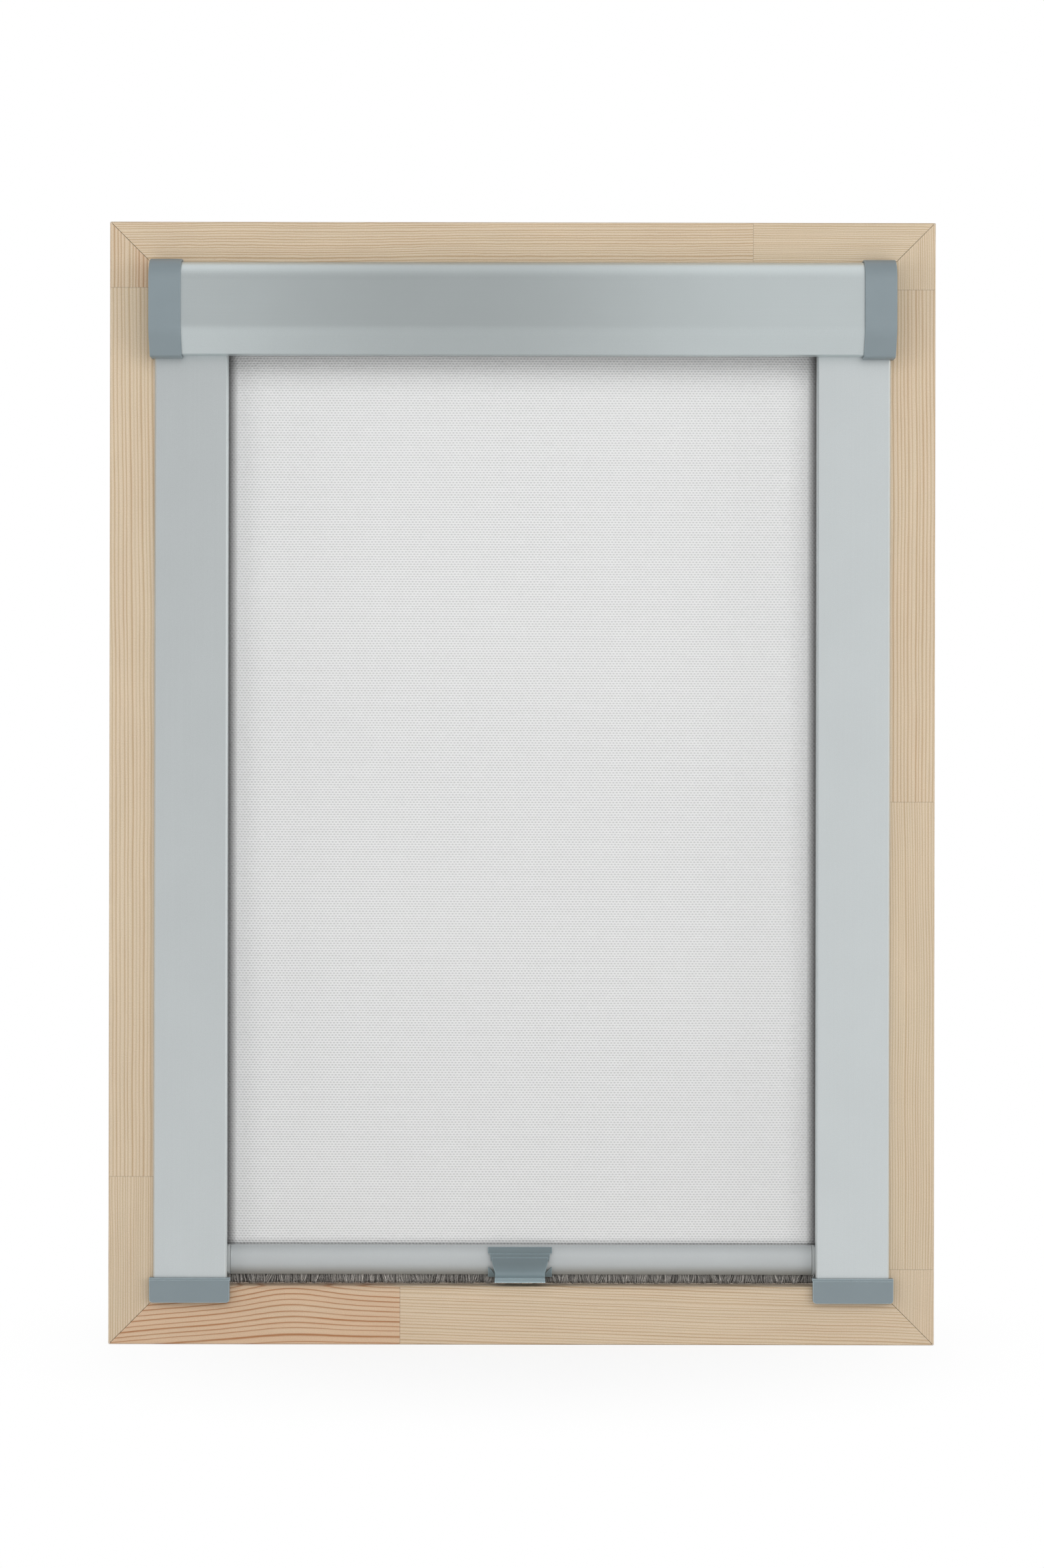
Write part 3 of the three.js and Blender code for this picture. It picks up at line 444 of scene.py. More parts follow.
def pine(name, standing, blocks, arch=None, heart=None, painted_shade=None):
    wood = material(name)
    x, depth, z = wood.place()
    along, across = (z, x) if standing else (x, z)
    face = depth - pine_face / -MM  # how far in front of the pine's face, so never above 0
    joint = face.zigzag(finger_pitch / 2) * (2 * finger_length / finger_pitch)

    def each(key):
        return stepped(along, blocks, key, joint)

    seed = each("seed")
    wave = wood.grain(along, across + seed * wave_shift, depth, wave_size, 1)
    ripple = wood.grain(along, across + seed * ripple_shift, depth, ripple_size, 2)
    start = along - each("end")
    from_pith = across - each("pith_across") + start * each("lean")
    from_pith = from_pith + start * start * each("bow") / bow_length ** 2
    from_pith = from_pith + wave * wave_height + ripple * each("ripple")
    if arch:
        centre, width, height, level, fade = arch
        bend = ((along - centre) / width) ** 2
        fall = ((level - across) / fade).between(0, 1)
        from_pith = from_pith - bend.math("EXPONENT", -bend) * (1 - fall) * height
    below_pith = depth - each("pith_depth")
    reach = (from_pith * from_pith + below_pith * below_pith) ** 0.5
    uneven = wood.grain(reach, seed, 0.0 * reach, uneven_size, 1) * uneven_most
    ring = ((reach + uneven) / each("ring")).remainder()
    line = wood.node("ShaderNodeValToRGB", {"stops": ring_profile}, [ring])
    line = line ** (1 + each("tone") * thin_when_red)
    year = wood.grain(reach, seed, 0.0 * reach, year_size, 1) * year_most + 1
    patchy = wood.grain(along, across, depth, patch_size, 2) + 1
    line = line * each("strength") * year * patchy

    stripe = wood.grain(along, across, depth, stripe_size, 2) * stripe_most
    wide_stripe = wood.grain(along, across, depth, wide_stripe_size, 2) * wide_stripe_most
    tone = each("tone") * (1 + stripe) + wide_stripe
    if heart:
        centre, width, low_end, amount = heart
        inside = 1 - (abs(across - centre) / width).between(0, 1)
        tone = tone + inside * (along > low_end) * amount
    colour = wood.mix(line, wood.mix(tone, straw, red), wood.mix(tone, straw_line, red_line))
    fibre = wood.grain(along, across, depth, fibre_size, 3, 0.7)
    cloud = wood.grain(along, across, depth, cloud_size, 2)
    speck = wood.grain(along, across, depth, speck_size, 1).between(0.3, 0.36)
    pore = wood.grain(along, across, depth, pore_size, 1)
    level = 1 + fibre * fibre_most + cloud * cloud_most + pore * pore_most
    level = level * (1 - speck * speck_dark)
    for block in blocks[:-1]:
        off = abs(along + joint - block.end)
        level = level * (1 - (1 - off.between(glue_line, glue_halo)) * glue_dark)
    # Painted shadow, such as the brush's on the bottom member.
    if painted_shade:
        shadow_start, shadow_full, amount = painted_shade
        level = level * (1 - across.between(shadow_start, shadow_full) * amount)
    colour = wood.shade(colour, level)
    relief = fibre * fibre_relief - line * line_relief
    print(name, "has", len(blocks), "blocks")
    return wood.surface(
        Base_Color=colour, Roughness=0.62 - line * 0.1, Specular_IOR_Level=0.35,
        Normal=wood.relief(relief),
    )


# %% [markdown]
# ## Metal
# Rails, cover and bar are extruded aluminium with a matt anodised coat. The die leaves faint
# lines along the profile, and the etched skin under the coat breaks reflections into a fine
# sparkle. Both are weak, so most of the look is a soft, wide reflection, and a painted highlight
# draws a bright line along edges. The cover's colour is painted a little darker towards its middle,
# a painted reflection of the dark room in front. The bar's colour has painted shade, a little
# darker along its upper edge and darker and warmer along its lower edge, over the brush, where the
# warmth is a painted reflection of the wood. Screws, springs and rods are steel, which is a full
# metal with scuffs.

# %% Anodised aluminium
# Sizes of the noises in mm: die lines for each way that a profile runs, etched skin and sheen.
die_size = {"x": (140, 1.1, 0.5), "z": (0.5, 1.1, 140)}
etch_size, sheen_size = (0.5, 0.5, 0.5), (45, 30, 45)
die_most, etch_most, sheen_most = 0.05, 0.18, 0.05
# Painted highlight: a bright line painted along edges, its width in mm and how much it adds.
metal_highlight_width, metal_highlight_gain = 0.6, 0.6  # how wide the bright line is, mm, and how much it adds
# Painted reflection: the cover is painted darker round this middle, fading out between these
# distances, in mm.
dark_reflection_centre, dark_reflection_near, dark_reflection_far = -50, 20, 230  # mm
# Painted shade on the bar: darker and warmer up to this height above its lower edge, the warmth a
# painted reflection of the wood, and darker along its upper edge.
low_shade_colour = linear(120, 114, 96)
low_shade_height = 9  # mm above the bar's lower edge
shade_below, shade_above, top_shade = 8, 1, 0.2  # the bar's upper edge turns away from the light


def anodised(name, colour, running, roughness=0.4, metal=0.9, dark_reflection=0.0, painted_shade=None):
    skin = material(name)
    x, depth, z = skin.place()
    die = skin.grain(x, depth, z, die_size[running], 3, 0.6)
    etch = skin.grain(x, depth, z, etch_size, 2, 0.7)
    cloud = skin.grain(x, depth, z, sheen_size, 2)
    level = 1 + die * die_most + etch * etch_most + cloud * sheen_most
    # Painted reflection: darker towards the cover's middle.
    level = level * (1 - (1 - abs(x - dark_reflection_centre).between(dark_reflection_near, dark_reflection_far)) * dark_reflection)
    # Painted highlight along edges.
    level = level * (1 + skin.near_edge(metal_highlight_width) * metal_highlight_gain)
    base = linear(*colour)
    # Painted shade on the bar's lower and upper edges, warmed below as a painted reflection of the
    # wood.
    if painted_shade:
        bottom, top, amount = painted_shade
        low_shade = (1 - z.between(bottom, bottom + low_shade_height)) * amount
        base = skin.mix(low_shade, base, low_shade_colour)
        level = level * (1 - z.between(top - shade_below, top + shade_above) * top_shade)
    return skin.surface(
        Base_Color=skin.shade(base, level), Metallic=metal,
        Roughness=roughness + die * 0.08 + etch * 0.1,
        Normal=skin.relief(etch * 0.006 + die * 0.003),
    )


bar_low, bar_high = (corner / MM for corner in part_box("bottom_bar"))
bar_painted_shade = (bar_low.z, bar_high.z, 0.4)
rail_metal = anodised("anodised_rail", (219, 225, 226), "z")
cover_metal = anodised("anodised_cover", (209, 217, 218), "x", 0.42, dark_reflection=0.23)
bar_metal = anodised("anodised_bar", (182, 186, 187), "x", 0.52, 0.2, painted_shade=bar_painted_shade)
back_metal = anodised("anodised_back", (204, 210, 211), "x", 0.48)
# Prints the height of the painted shade along the bar's lower edge.
print("four anodised finishes, and soil up to", round(bar_low.z + low_shade_height, 1), "mm on the bar")


# %% Steel
scuff_size = (0.8, 0.8, 0.8)  # mm


def steel(name, colour, roughness):
    skin = material(name)
    x, depth, z = skin.place()
    scuff = skin.grain(x, depth, z, scuff_size, 3, 0.7)
    return skin.surface(
        Base_Color=skin.shade(linear(*colour), 1 + scuff * 0.3), Metallic=1.0,
        Roughness=roughness + scuff * 0.3, Normal=skin.relief(scuff * 0.01),
    )


zinc_steel = steel("zinc_plated_steel", (196, 198, 196), 0.34)
spring_wire = steel("oiled_spring_wire", (120, 122, 126), 0.3)
print("steel finishes:", zinc_steel.name, "and", spring_wire.name)


# %% [markdown]
# ## Moulded parts
# The caps are moulded in a blue-grey plastic, the handle in a darker one and the bar's shoes in
# a light grey one, in moulds with a spark-eroded texture that leaves a fine dull grain. The
# handle's colour is painted paler towards its lip and palest on the lip's edge, painted light as
# if from the pale floor below. Edges of caps and handle get a painted highlight, which a rounded
# normal finds: close to an edge it leans away from the face's own. The plugs in the roller are
# plain nylon and the brake pads are rubber. All are one recipe with other numbers.

# %% Moulded finish
flow_size = (22, 22, 22)  # mm, how the melt clouded as it filled the mould
# Painted highlight on rounded edges: how far from an edge it reaches, in mm.
edge_highlight_reach = 0.8  # mm
paler_height = 14  # mm of the handle, up from its lowest point, that is painted paler
# Painted light on the handle: the band of the lip's edge, and how much the lower part and the lip's
# edge are lightened.
lip_highlight_band = (0.25, 0.7)  # mm above the handle's lowest point
paler_gain, lip_highlight_gain = 0.6, 1.0


def moulded(name, colour, roughness, pit, relief, sheen=0.0, painted_paler=None, painted_shading=0.0):
    skin = material(name)
    x, depth, z = skin.place()
    pits = skin.grain(x, depth, z, (pit, pit, pit), 2, 0.6)
    flow = skin.grain(x, depth, z, flow_size, 3)
    level = 1 + pits * 0.08 + flow * 0.08
    # Painted light: the handle is painted paler up to its lip, and palest on the lip's edge.
    if painted_paler:
        paler_band = 1 - z.between(painted_paler, painted_paler + paler_height)
        edge = 1 - z.between(*(painted_paler + reach for reach in lip_highlight_band))
        level = level * (1 + paler_band * paler_gain + edge * lip_highlight_gain)
    # Painted highlight on rounded edges.
    if painted_shading:
        level = level * (1 + skin.near_edge(edge_highlight_reach) * painted_shading)
    return skin.surface(
        Base_Color=skin.shade(linear(*colour), level), Roughness=roughness + pits * 0.15,
        Specular_IOR_Level=0.5, Normal=skin.relief(pits * relief), Sheen_Weight=sheen,
    )


grey_plastic = moulded("blue_grey_plastic", (124, 136, 141), 0.44, 0.35, 0.012, painted_shading=1.4)
handle_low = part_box("pull_handle")[0].z / MM
handle_plastic = moulded(
    "handle_plastic", (102, 115, 119), 0.44, 0.35, 0.012, painted_paler=handle_low, painted_shading=1.1
)
shoe_plastic = moulded("shoe_plastic", (172, 176, 176), 0.5, 0.35, 0.012)
white_nylon = moulded("natural_nylon", (228, 226, 216), 0.38, 0.9, 0.006)
brake_rubber = moulded("brake_rubber", (44, 44, 46), 0.8, 0.6, 0.04, 0.2)
# Where the handle's painted paler part starts, and how tall it is.
print("the handle is worn from", round(handle_low, 1), "mm up, over", paler_height, "mm")

# %% [markdown]
# ## Dress the hard parts
# The CAD meshes are faceted and their edges are knife sharp, which no real edge is. Modifiers
# mend that without touching the meshes: weld the corners, dissolve flat triangles, round each
# edge by a fraction of a millimetre, and weight the normals so that flat faces stay flat.

# %% Round edges
weld_gap = 0.005 * MM
flat_angle = math.radians(0.6)


def dress(name, finish, radius, steps=2, sharp=30):
    part = nodes[name] if name in nodes else bpy.data.objects[name]
    skin = part.data
    skin.materials.clear()
    skin.materials.append(finish)
    skin.polygons.foreach_set("use_smooth", [True] * len(skin.polygons))
    if "custom_normal" in skin.attributes:
        skin.attributes.remove(skin.attributes["custom_normal"])
    part.modifiers.new("weld", "WELD").merge_threshold = weld_gap
    flat = part.modifiers.new("flat", "DECIMATE")
    flat.decimate_type = "DISSOLVE"
    flat.angle_limit = flat_angle
    if radius:
        edge = part.modifiers.new("edge", "BEVEL")
        edge.width, edge.segments = radius * MM, steps
        edge.limit_method, edge.angle_limit = "ANGLE", math.radians(sharp)
    part.modifiers.new("normals", "WEIGHTED_NORMAL").keep_sharp = True


SIDES = ("left", "right")
for side in SIDES:
    dress(f"{side}_side_rail", rail_metal, 0.18)
    dress(f"{side}_rail_cap", grey_plastic, 0.4)
    dress(f"{side}_cassette_cap", grey_plastic, 0.8, 3)
    dress(f"{side}_bar_shoe", shoe_plastic, 0.08)
    dress(f"{side}_brake_pad", brake_rubber, 0.3)
    for number in (1, 2, 3):
        dress(f"{side}_rail_screw_{number}", zinc_steel, 0.15, sharp=50)
for number in (1, 2, 3, 4):
    dress(f"cassette_screw_{number}", zinc_steel, 0.15, sharp=50)
dress("cassette_cover", cover_metal, 0.2)
dress("cassette_back", back_metal, 0.2)
dress("bottom_bar", bar_metal, 0.08)
dress("pull_handle", handle_plastic, 0.2)
dress("roller_tube", back_metal, 0.1)
dress("spring_arbor", zinc_steel, 0.15)
dress("spring_plug", white_nylon, 0.2)
dress("idle_plug", white_nylon, 0.2)
dress("torsion_spring", spring_wire, 0)
dress("hem_rod", zinc_steel, 0)
print("rounded:", sum("edge" in part.modifiers for part in nodes.values()), "parts")

# %% [markdown]
# ## Brake springs
# A brake pad gives way by a millimetre, and its spring shortens with it. So each spring is a copy
# of the CAD one, and the share of its length that it keeps when the pad travels is worked out.

# %% Brake springs
for side in SIDES:
    name = f"{side}_brake_spring"
    coil = bpy.data.objects.new(f"{side}_brake_coil", nodes[name].data.copy())
    bpy.context.scene.collection.objects.link(coil)
    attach(coil, "bottom_bar")
    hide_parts(name)
    dress(coil.name, spring_wire, 0)
    slide = next(joint for joint in frame["joints"] if joint["name"] == f"{side}_brake_slide")
    fixed_y = slide["deforming_nodes"][0]["fixed_end_y_m"]
    length = max(abs(corner.y - fixed_y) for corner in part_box(name))
    coil_keep = 1 - slide["range_m"][1] / length
    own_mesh(coil)
    print(coil.name, "keeps", round(coil_keep, 3), "of its length")

# %% [markdown]
# ## Dress the pine
# Each member gets its own list of blocks, from its low or left end to its other one. Where a
# block ends, how far apart its rings are, on which side their pith lies and how red it is were
# judged against the photo. The last block of a list ends beyond the member. The red block
# has a knot's arch in its grain, the left stile's top block has a redder heart, and a painted
# shadow of the brush darkens the edge of the bottom member. Pine keeps its sharp planed corners,
# so these parts get no rounded edges.

# %% Dress the pine
# Each row: end, seed, ring, pith across and in depth, tone, strength, lean, bow and ripple.
left_blocks = [
    Block(104, 1, 1.9, (90, 16), 0.1, 0.9, 0.004),
    Block(771.6, 2, 2.8, (-520, -40), 0.1, 0.95, 0.01, 0.06),
    Block(852, 3, 2.7, (-500, 40), 0.25, 1.3, -0.01),
]
right_blocks = [
    Block(35, 4, 1.9, (190, 30), 0.15, 0.6, -0.01),
    Block(386, 5, 1.9, (90, -10), 0.05, 0.9, 0.012, 0.25),
    Block(770.6, 6, 2.7, (590, 60), 0.15, 1.05, 0.004, 0.12),
    Block(852, 7, 1.7, (90, 10), 0.1, 0.9, 0.006),
]
top_blocks = [
    Block(173, 8, 1.9, (560, -60), 0.15, 1.2, -0.006, 0, 1.0),
    Block(311, 9, 1.5, (600, 60), 0.05, 1.0, 0.004, 0, 0.7),
]
bottom_blocks = [
    Block(-91, 10, 3.7, (-160, 20), 1.0, 1.1, 0.02, 2.75),
    Block(311, 11, 2.3, (-170, 40), 0.2, 0.9, 0.03),
]
heart = (-286, 9, 771.6, 0.35)  # its middle, half its width and its low end in mm, and how red
dress("left_frame_stile", pine("pine_left", True, left_blocks, heart=heart), 0)
dress("right_frame_stile", pine("pine_right", True, right_blocks), 0)
dress("frame_top_member", pine("pine_top", False, top_blocks), 0)
# The arch: its middle and half its width, its height, and from where down and how fast it fades.
arch = (-174, 40, 7.5, 24, 60)
brush_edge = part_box("frame_bottom_member")[1].z / MM
# Painted shadow of the brush: from where up the wood darkens, from where up it is fully dark, and
# how dark.
brush_shadow = (brush_edge - 3.1, brush_edge - 2.0, 0.14)
bottom_pine = pine("pine_bottom", False, bottom_blocks, arch, painted_shade=brush_shadow)
dress("frame_bottom_member", bottom_pine, 0)

# %% [markdown]
# ## Cloth
# The blackout cloth is a thick basket weave. Grey level yarns pass under white upright ones, so
# the front shows rows of flat grey ovals, and each second row is shifted by half a step. A
# product of two cosines places the ovals, and a third cosine flattens them. Close to the rails
# the cloth's colour gets painted shade, darkest at the rail, and its ovals fade. The back has a
# smooth coat that shuts out light, where the weave barely shows.

# %% Cloth finish
weave_x, weave_z = 1.275, 1.87  # mm from one oval to the next, and from one row to the next
flatten = 0.8
# Painted shade beside the rails: how far in from a rail it reaches, and how it rises.
rail_shade_reach = 6.5  # mm
rail_shade_curve = 1.1
fade_near, fade_far, faded = 3, 16, 0.6  # mm from the rail, where the ovals fade to this share
oval_edge = (-0.95, 1.6)  # where an oval's soft edge starts and is full
drift_most, jitter_most = 0.35, 0.25  # mm
oval_relief, fuzz_relief = -0.1, 0.03  # mm
ground, oval = linear(228, 228, 228), linear(193, 194, 194)
coat_colour = linear(214, 215, 214)
# Sizes of the noises, in mm: the cloth's drift, the yarns' own shifts, yarn, fuzz and coat.
drift_size, jitter_size = (9, 9, 9), (1.6, 9, 1.2)
yarn_size, fuzz_size, coat_size = (2.2, 4, 1.6), (0.25, 0.4, 0.25), (30, 5, 30)
cloth_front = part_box("fabric_sheet")[0].y / -MM
rail_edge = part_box("right_side_rail")[0].x / MM


def cloth(name, painted_shading):
    weave = material(name)
    x, depth, z = weave.place()
    drift = weave.grain(x, depth, z, drift_size, 2) * drift_most
    jitter = weave.grain(x, depth, z, jitter_size, 2) * jitter_most
    along, up = x + drift + jitter, z + drift - jitter
    over = (along * (math.pi / weave_x)).cosine() * (up * (math.pi / weave_z)).cosine()
    over = over + (up * (2 * math.pi / weave_z)).cosine() * flatten
    yarn = weave.grain(x, depth, z, yarn_size, 2, 0.6)
    fuzz = weave.grain(x, depth, z, fuzz_size, 2, 0.7)
    spot = (over + yarn * 0.9).between(*oval_edge, "LINEAR")
    level = 1 + yarn * 0.06 + fuzz * 0.06
    # Painted shade beside the rails: the colour darkens towards each rail, and the ovals fade
    # there.
    if painted_shading:
        from_rail = rail_edge - abs(x)
        clear = from_rail.between(0, rail_shade_reach, "LINEAR") ** rail_shade_curve
        level = level * (1 - (1 - clear) * painted_shading)
        spot = spot * (0.25 + clear * 0.75) + (1 - clear) * 0.35
        spot = spot * (faded + from_rail.between(fade_near, fade_far) * (1 - faded))
    front = weave.mix(spot, ground, oval)
    back = 1 - (depth - cloth_front + 0.25).between(-0.1, 0.1)
    coat = weave.grain(x, depth, z, coat_size, 2) * 0.05 + 1
    coated = weave.shade(coat_colour, coat)
    colour = weave.mix(back, weave.shade(front, level), coated)
    height = over * oval_relief + fuzz * fuzz_relief
    return weave.surface(
        Base_Color=colour, Roughness=0.9 - back * 0.3, Specular_IOR_Level=0.2,
        Normal=weave.relief(height * (1 - back * 0.7)),
    )


# How far in the painted shade beside the rails reaches.
print("the cloth is rubbed over", rail_shade_reach, "mm from x =", round(rail_edge, 1), "mm")

# %% [markdown]
# ## The sheet
# The sheet is taut between roller and bar, so it is modelled directly: two grids a thickness
# apart, joined round the edge, with faint upright waves that die out where it is held. It ends on
# the bar. The share of its height that it keeps when the bar rises, flattened towards the roller so
# that its lower edge stays on the bar, is worked out. The hem in the bar's slot doesn't flatten, so
# it is a piece of its own, which rides on the bar and is narrower than the sheet to leave room for
# the shoes.

# %% Make a mesh
def make(name, points, faces, finish, body):
    skin = bpy.data.meshes.new(name)
    skin.from_pydata([tuple(v * MM for v in point) for point in points], [], faces)
    skin.polygons.foreach_set("use_smooth", [True] * len(faces))
    skin.materials.append(finish)
    piece = bpy.data.objects.new(name, skin)
    bpy.context.scene.collection.objects.link(piece)
    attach(piece, body)
    print(name, "has", len(points), "points and", len(faces), "faces")
    return piece


def shell(columns, rows, front, back):
    """Points and faces of a closed sheet: a front grid, a back grid, and the edge between."""
    grid = [(i, j) for j in range(rows + 1) for i in range(columns + 1)]
    points = [front(i, j) for i, j in grid] + [back(i, j) for i, j in grid]
    wide, count = columns + 1, len(grid)
    faces = []
    for j in range(rows):
        for i in range(columns):
            a = j * wide + i
            faces.append((a, a + 1, a + wide + 1, a + wide))
            faces.append((a + count, a + wide + count, a + wide + 1 + count, a + 1 + count))
    rim = [i for i in range(columns)]
    rim += [j * wide + columns for j in range(rows)]
    rim += [rows * wide + i for i in range(columns, 0, -1)]
    rim += [j * wide for j in range(rows, 0, -1)]
    for a, b in zip(rim, rim[1:] + rim[:1]):
        faces.append((b, a, a + count, b + count))
    return points, faces


# %% The sheet
low, high = (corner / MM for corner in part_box("fabric_sheet"))
thickness = high.y - low.y
shoe_room, hem_gap = 2.5, 0.02  # mm
bar_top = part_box("bottom_bar")[1].z / MM
slot_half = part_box("bottom_bar")[1].x / MM - shoe_room
sheet_low = bar_top + hem_gap
columns, rows = 96, 120
wave_width, wave_length, wave_rise = 34, 260, 0.22  # mm
plane_y = (low.y + high.y) / 2


def sheet_point(i, j, side):
    up = j / rows
    x = (i / columns * 2 - 1) * high.x
    z = sheet_low + (high.z - sheet_low) * up
    held = max(0.0, math.sin(math.pi * up)) ** 0.5
    wave = noise.noise((x / wave_width, z / wave_length, 4.2)) * wave_rise * held
    return (x, plane_y + wave + side * thickness / 2, z)


points, faces = shell(
    columns, rows, lambda i, j: sheet_point(i, j, -1), lambda i, j: sheet_point(i, j, 1)
)
# The front cloth gets painted shade beside the rails, this deep.
blackout = cloth("blackout_weave", 0.74)
sheet = make("blackout_cloth", points, faces, blackout, "frame")
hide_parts("fabric_sheet")

# %% The hem
hem_rows = 6


def hem_point(i, j, side):
    x = (i / columns * 2 - 1) * slot_half
    z = low.z + (bar_top - low.z) * j / hem_rows
    return (x, plane_y + side * thickness / 2, z)


points, faces = shell(
    columns, hem_rows, lambda i, j: hem_point(i, j, -1), lambda i, j: hem_point(i, j, 1)
)
hem = make("cloth_hem", points, faces, blackout, "bottom_bar")

# %% The share of its height that the sheet keeps
travel = next(joint for joint in frame["joints"] if joint["name"] == "bar_slide")["range_m"][1]
anchor_z = high.z * MM
keep = 1 - travel / (anchor_z - sheet_low * MM)
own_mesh(sheet)
print("the sheet keeps", round(keep, 4), "of its height when the bar is up")

# %% [markdown]
# ## The wound turns
# Two turns of cloth stay on the roller when the blind is closed. They are the same cloth, so
# they are a spiral of the same thickness, drawn as a closed strip and carried round by the roller.

# %% The wound turns
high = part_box("fabric_roll")[1] / MM
turns, turn_steps, pitch = 2, 64, 1.0
tube_low, tube_high = (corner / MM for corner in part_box("roller_tube"))
axis_y = (tube_low.y + tube_high.y) / 2
axis_z = (tube_low.z + tube_high.z) / 2
sheet_front, sheet_back = (corner.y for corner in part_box("fabric_sheet"))
wind_radius = (sheet_front + sheet_back) / 2 / MM - axis_y
cloth_columns = 24


def wound_point(i, j, side):
    share = j / (turns * turn_steps)
    radius = wind_radius - turns * pitch * share + side * thickness / 2
    angle = 2 * math.pi * turns * share
    x = (i / cloth_columns * 2 - 1) * high.x
    return (x, axis_y + radius * math.cos(angle), axis_z + radius * math.sin(angle))


points, faces = shell(
    cloth_columns, turns * turn_steps,
    lambda i, j: wound_point(i, j, 1), lambda i, j: wound_point(i, j, -1),
)
wound_weave = cloth("wound_weave", 0)
wound = make("wound_cloth", points, faces, wound_weave, "roller")
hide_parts("fabric_roll")
wound_length = 2 * math.pi * turns * (wind_radius - turns * pitch / 2) * MM
print("wound length in mm:", round(wound_length / MM))

# %% [markdown]
# ## The brush
# Under the bar a brush closes the gap to the frame. It is a row of fine polypropylene strands,
# crimped together in small tufts on a backing strip, and a film between the rows stops draughts.
# Thousands of thin bent prisms are cheap, and they give the real ragged edge. Neighbours lean
# the same way because their lean comes from one slow noise, and a little chance is added to each.

# %% Brush finish
low, high = (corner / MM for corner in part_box("brush_strip"))
middle_y = (low.y + high.y) / 2
film_half, film_dark = 0.1, 0.7
streak_size = (0.45, 0.8, 1.0)  # mm
strand_grey = linear(160, 157, 153)
strand_level, own_most, streak_most = 1.15, 1.8, 2.4
fibres = material("brush_fibre")
x, depth, z = fibres.place()
own_tone = fibres.node("ShaderNodeNewGeometry", output="Random Per Island") - 0.5
along_tone = fibres.grain(x, depth, z, streak_size, 2, 0.8)
on_film = 1 - abs(depth + middle_y).between(film_half, film_half * 1.5)
level = strand_level + own_tone * own_most + along_tone * streak_most
level = level * (1 - on_film * film_dark)
brush_fibre = fibres.surface(
    Base_Color=fibres.shade(strand_grey, level), Roughness=0.5, Specular_IOR_Level=0.5,
)
print("brush from", round(low.z, 1), "to", round(high.z, 1), "mm")

# %% Blocks and strands
strand_sides, strand_levels = 3, 4
strand_taper = 0.25  # how much of its thickness a strand loses up to its tip
block_faces = [
    (2, 3, 1, 0), (5, 7, 6, 4), (1, 5, 4, 0), (6, 7, 3, 2), (4, 6, 2, 0), (3, 7, 5, 1),
]
points, faces = [], []


def add_block(x0, x1, y0, y1, z0, z1):
    base = len(points)
    points.extend((x, y, z) for z in (z0, z1) for y in (y0, y1) for x in (x0, x1))
    for face in block_faces:
        faces.append(tuple(base + corner for corner in face))


def add_strand(root, tip, bend, radius, turn):
    base = len(points)
    for step in range(strand_levels + 1):
        share = step / strand_levels
        centre = root.lerp(tip, share) + bend * (share * (1 - share) * 4)
        thick = radius * (1 - strand_taper * share)
        for corner in range(strand_sides):
            angle = turn + 2 * math.pi * corner / strand_sides
            points.append((
                centre.x + thick * math.cos(angle), centre.y + thick * math.sin(angle), centre.z,
            ))
    for step in range(strand_levels):
        for corner in range(strand_sides):
            a = base + step * strand_sides + corner
            b = base + step * strand_sides + (corner + 1) % strand_sides
            faces.append((a, a + strand_sides, b + strand_sides, b))
    last = base + strand_levels * strand_sides
    faces.append(tuple(range(base, base + strand_sides)))
    faces.append(tuple(range(last + strand_sides - 1, last - 1, -1)))


# %% Backing and film
backing = 1  # mm
bar_gap = 0.1  # mm
splay = 1.9  # mm by which the outer strands lean out beyond the strip
film_lift, film_inset, film_overlap = 0.5, 0.4, 0.1  # mm
add_block(low.x, high.x, low.y, high.y, high.z - backing, high.z)
film = (middle_y - film_half, middle_y + film_half, low.z + film_lift)
add_block(low.x + film_inset, high.x - film_inset, *film, high.z - backing)
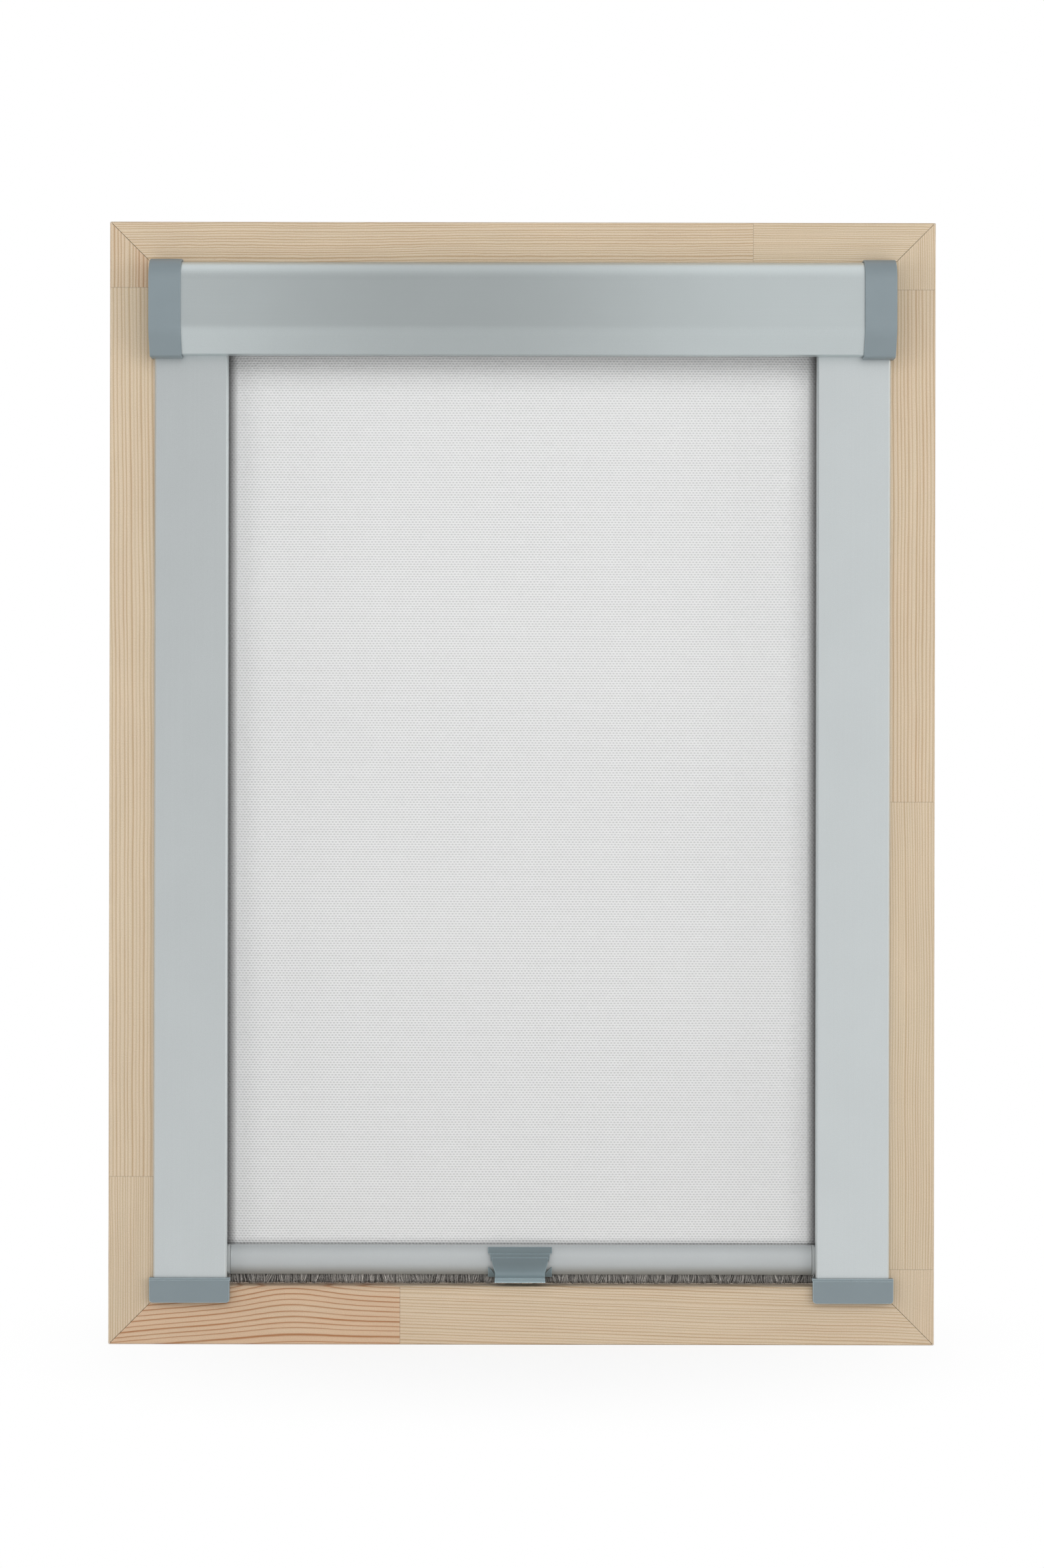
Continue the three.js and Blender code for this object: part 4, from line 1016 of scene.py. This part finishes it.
# Beyond the bar's ends the film's upper edge is lower, because the shoes are above it.
for end in (low.x - splay + film_inset - film_overlap, high.x - film_inset):
    add_block(end, end + splay + film_overlap, *film, bar_low.z - bar_gap)
print("backing and film have", len(points), "points")

# %% The strands
chance = random.Random(11)
strand_radius, strand_step, strand_rows = 0.21, 0.4, 5
row_gap, row_spread = 0.75, 0.12  # mm between rows at the root, and how much more at the tip
root_z = high.z - backing - bar_gap
tuft_width, tuft_lean = 6.5, 6.4  # mm
clump_width, clump_lean, stray = 1.9, 1.2, 0.35  # mm
bow_width, bow_height, bow_stray = 2.3, 2.2, 0.5  # mm
ragged, depth_stray, tip_gap = 0.6, 0.15, 0.02  # mm
for row in range(strand_rows):
    from_middle = row - (strand_rows - 1) / 2
    row_y = middle_y + from_middle * row_gap
    first = low.x - splay + strand_radius
    for index in range(int(-2 * first / strand_step)):
        x = first + (index + chance.random()) * strand_step
        sway = noise.noise((x / tuft_width, row * 0.2, 1.5)) * tuft_lean
        sway += noise.noise((x / clump_width, row, 7)) * clump_lean
        sway += chance.uniform(-stray, stray)
        shorter = chance.random() ** 2 * ragged
        tip_x = min(max(x + sway, low.x - splay), high.x + splay)
        tip_y = row_y + from_middle * row_spread + chance.uniform(-depth_stray, depth_stray)
        root = Vector((x, row_y, root_z if abs(x) < bar_high.x else bar_low.z - bar_gap))
        tip = Vector((tip_x, tip_y, low.z + tip_gap + shorter))
        bow = noise.noise((x / bow_width, row * 0.7, 12)) * bow_height
        bow += chance.uniform(-bow_stray, bow_stray)
        bend = Vector((bow, chance.uniform(-depth_stray, depth_stray), 0))
        thick = strand_radius * chance.uniform(0.7, 1.1)
        add_strand(root, tip, bend, thick, turn=chance.random() * 6)
brush = make("brush_pile", points, faces, brush_fibre, "bottom_bar")
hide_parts("brush_strip")

# %% [markdown]
# ## Finish
# The boxes of the CAD model and of the dressed model are written down, so that they can be
# compared, and the standard view keeps the colours as they are written.

# %% Finish
bpy.context.scene.view_settings.view_transform = "Standard"
low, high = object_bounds()
print("visual box in mm:", [round(side / MM, 1) for side in high - low])
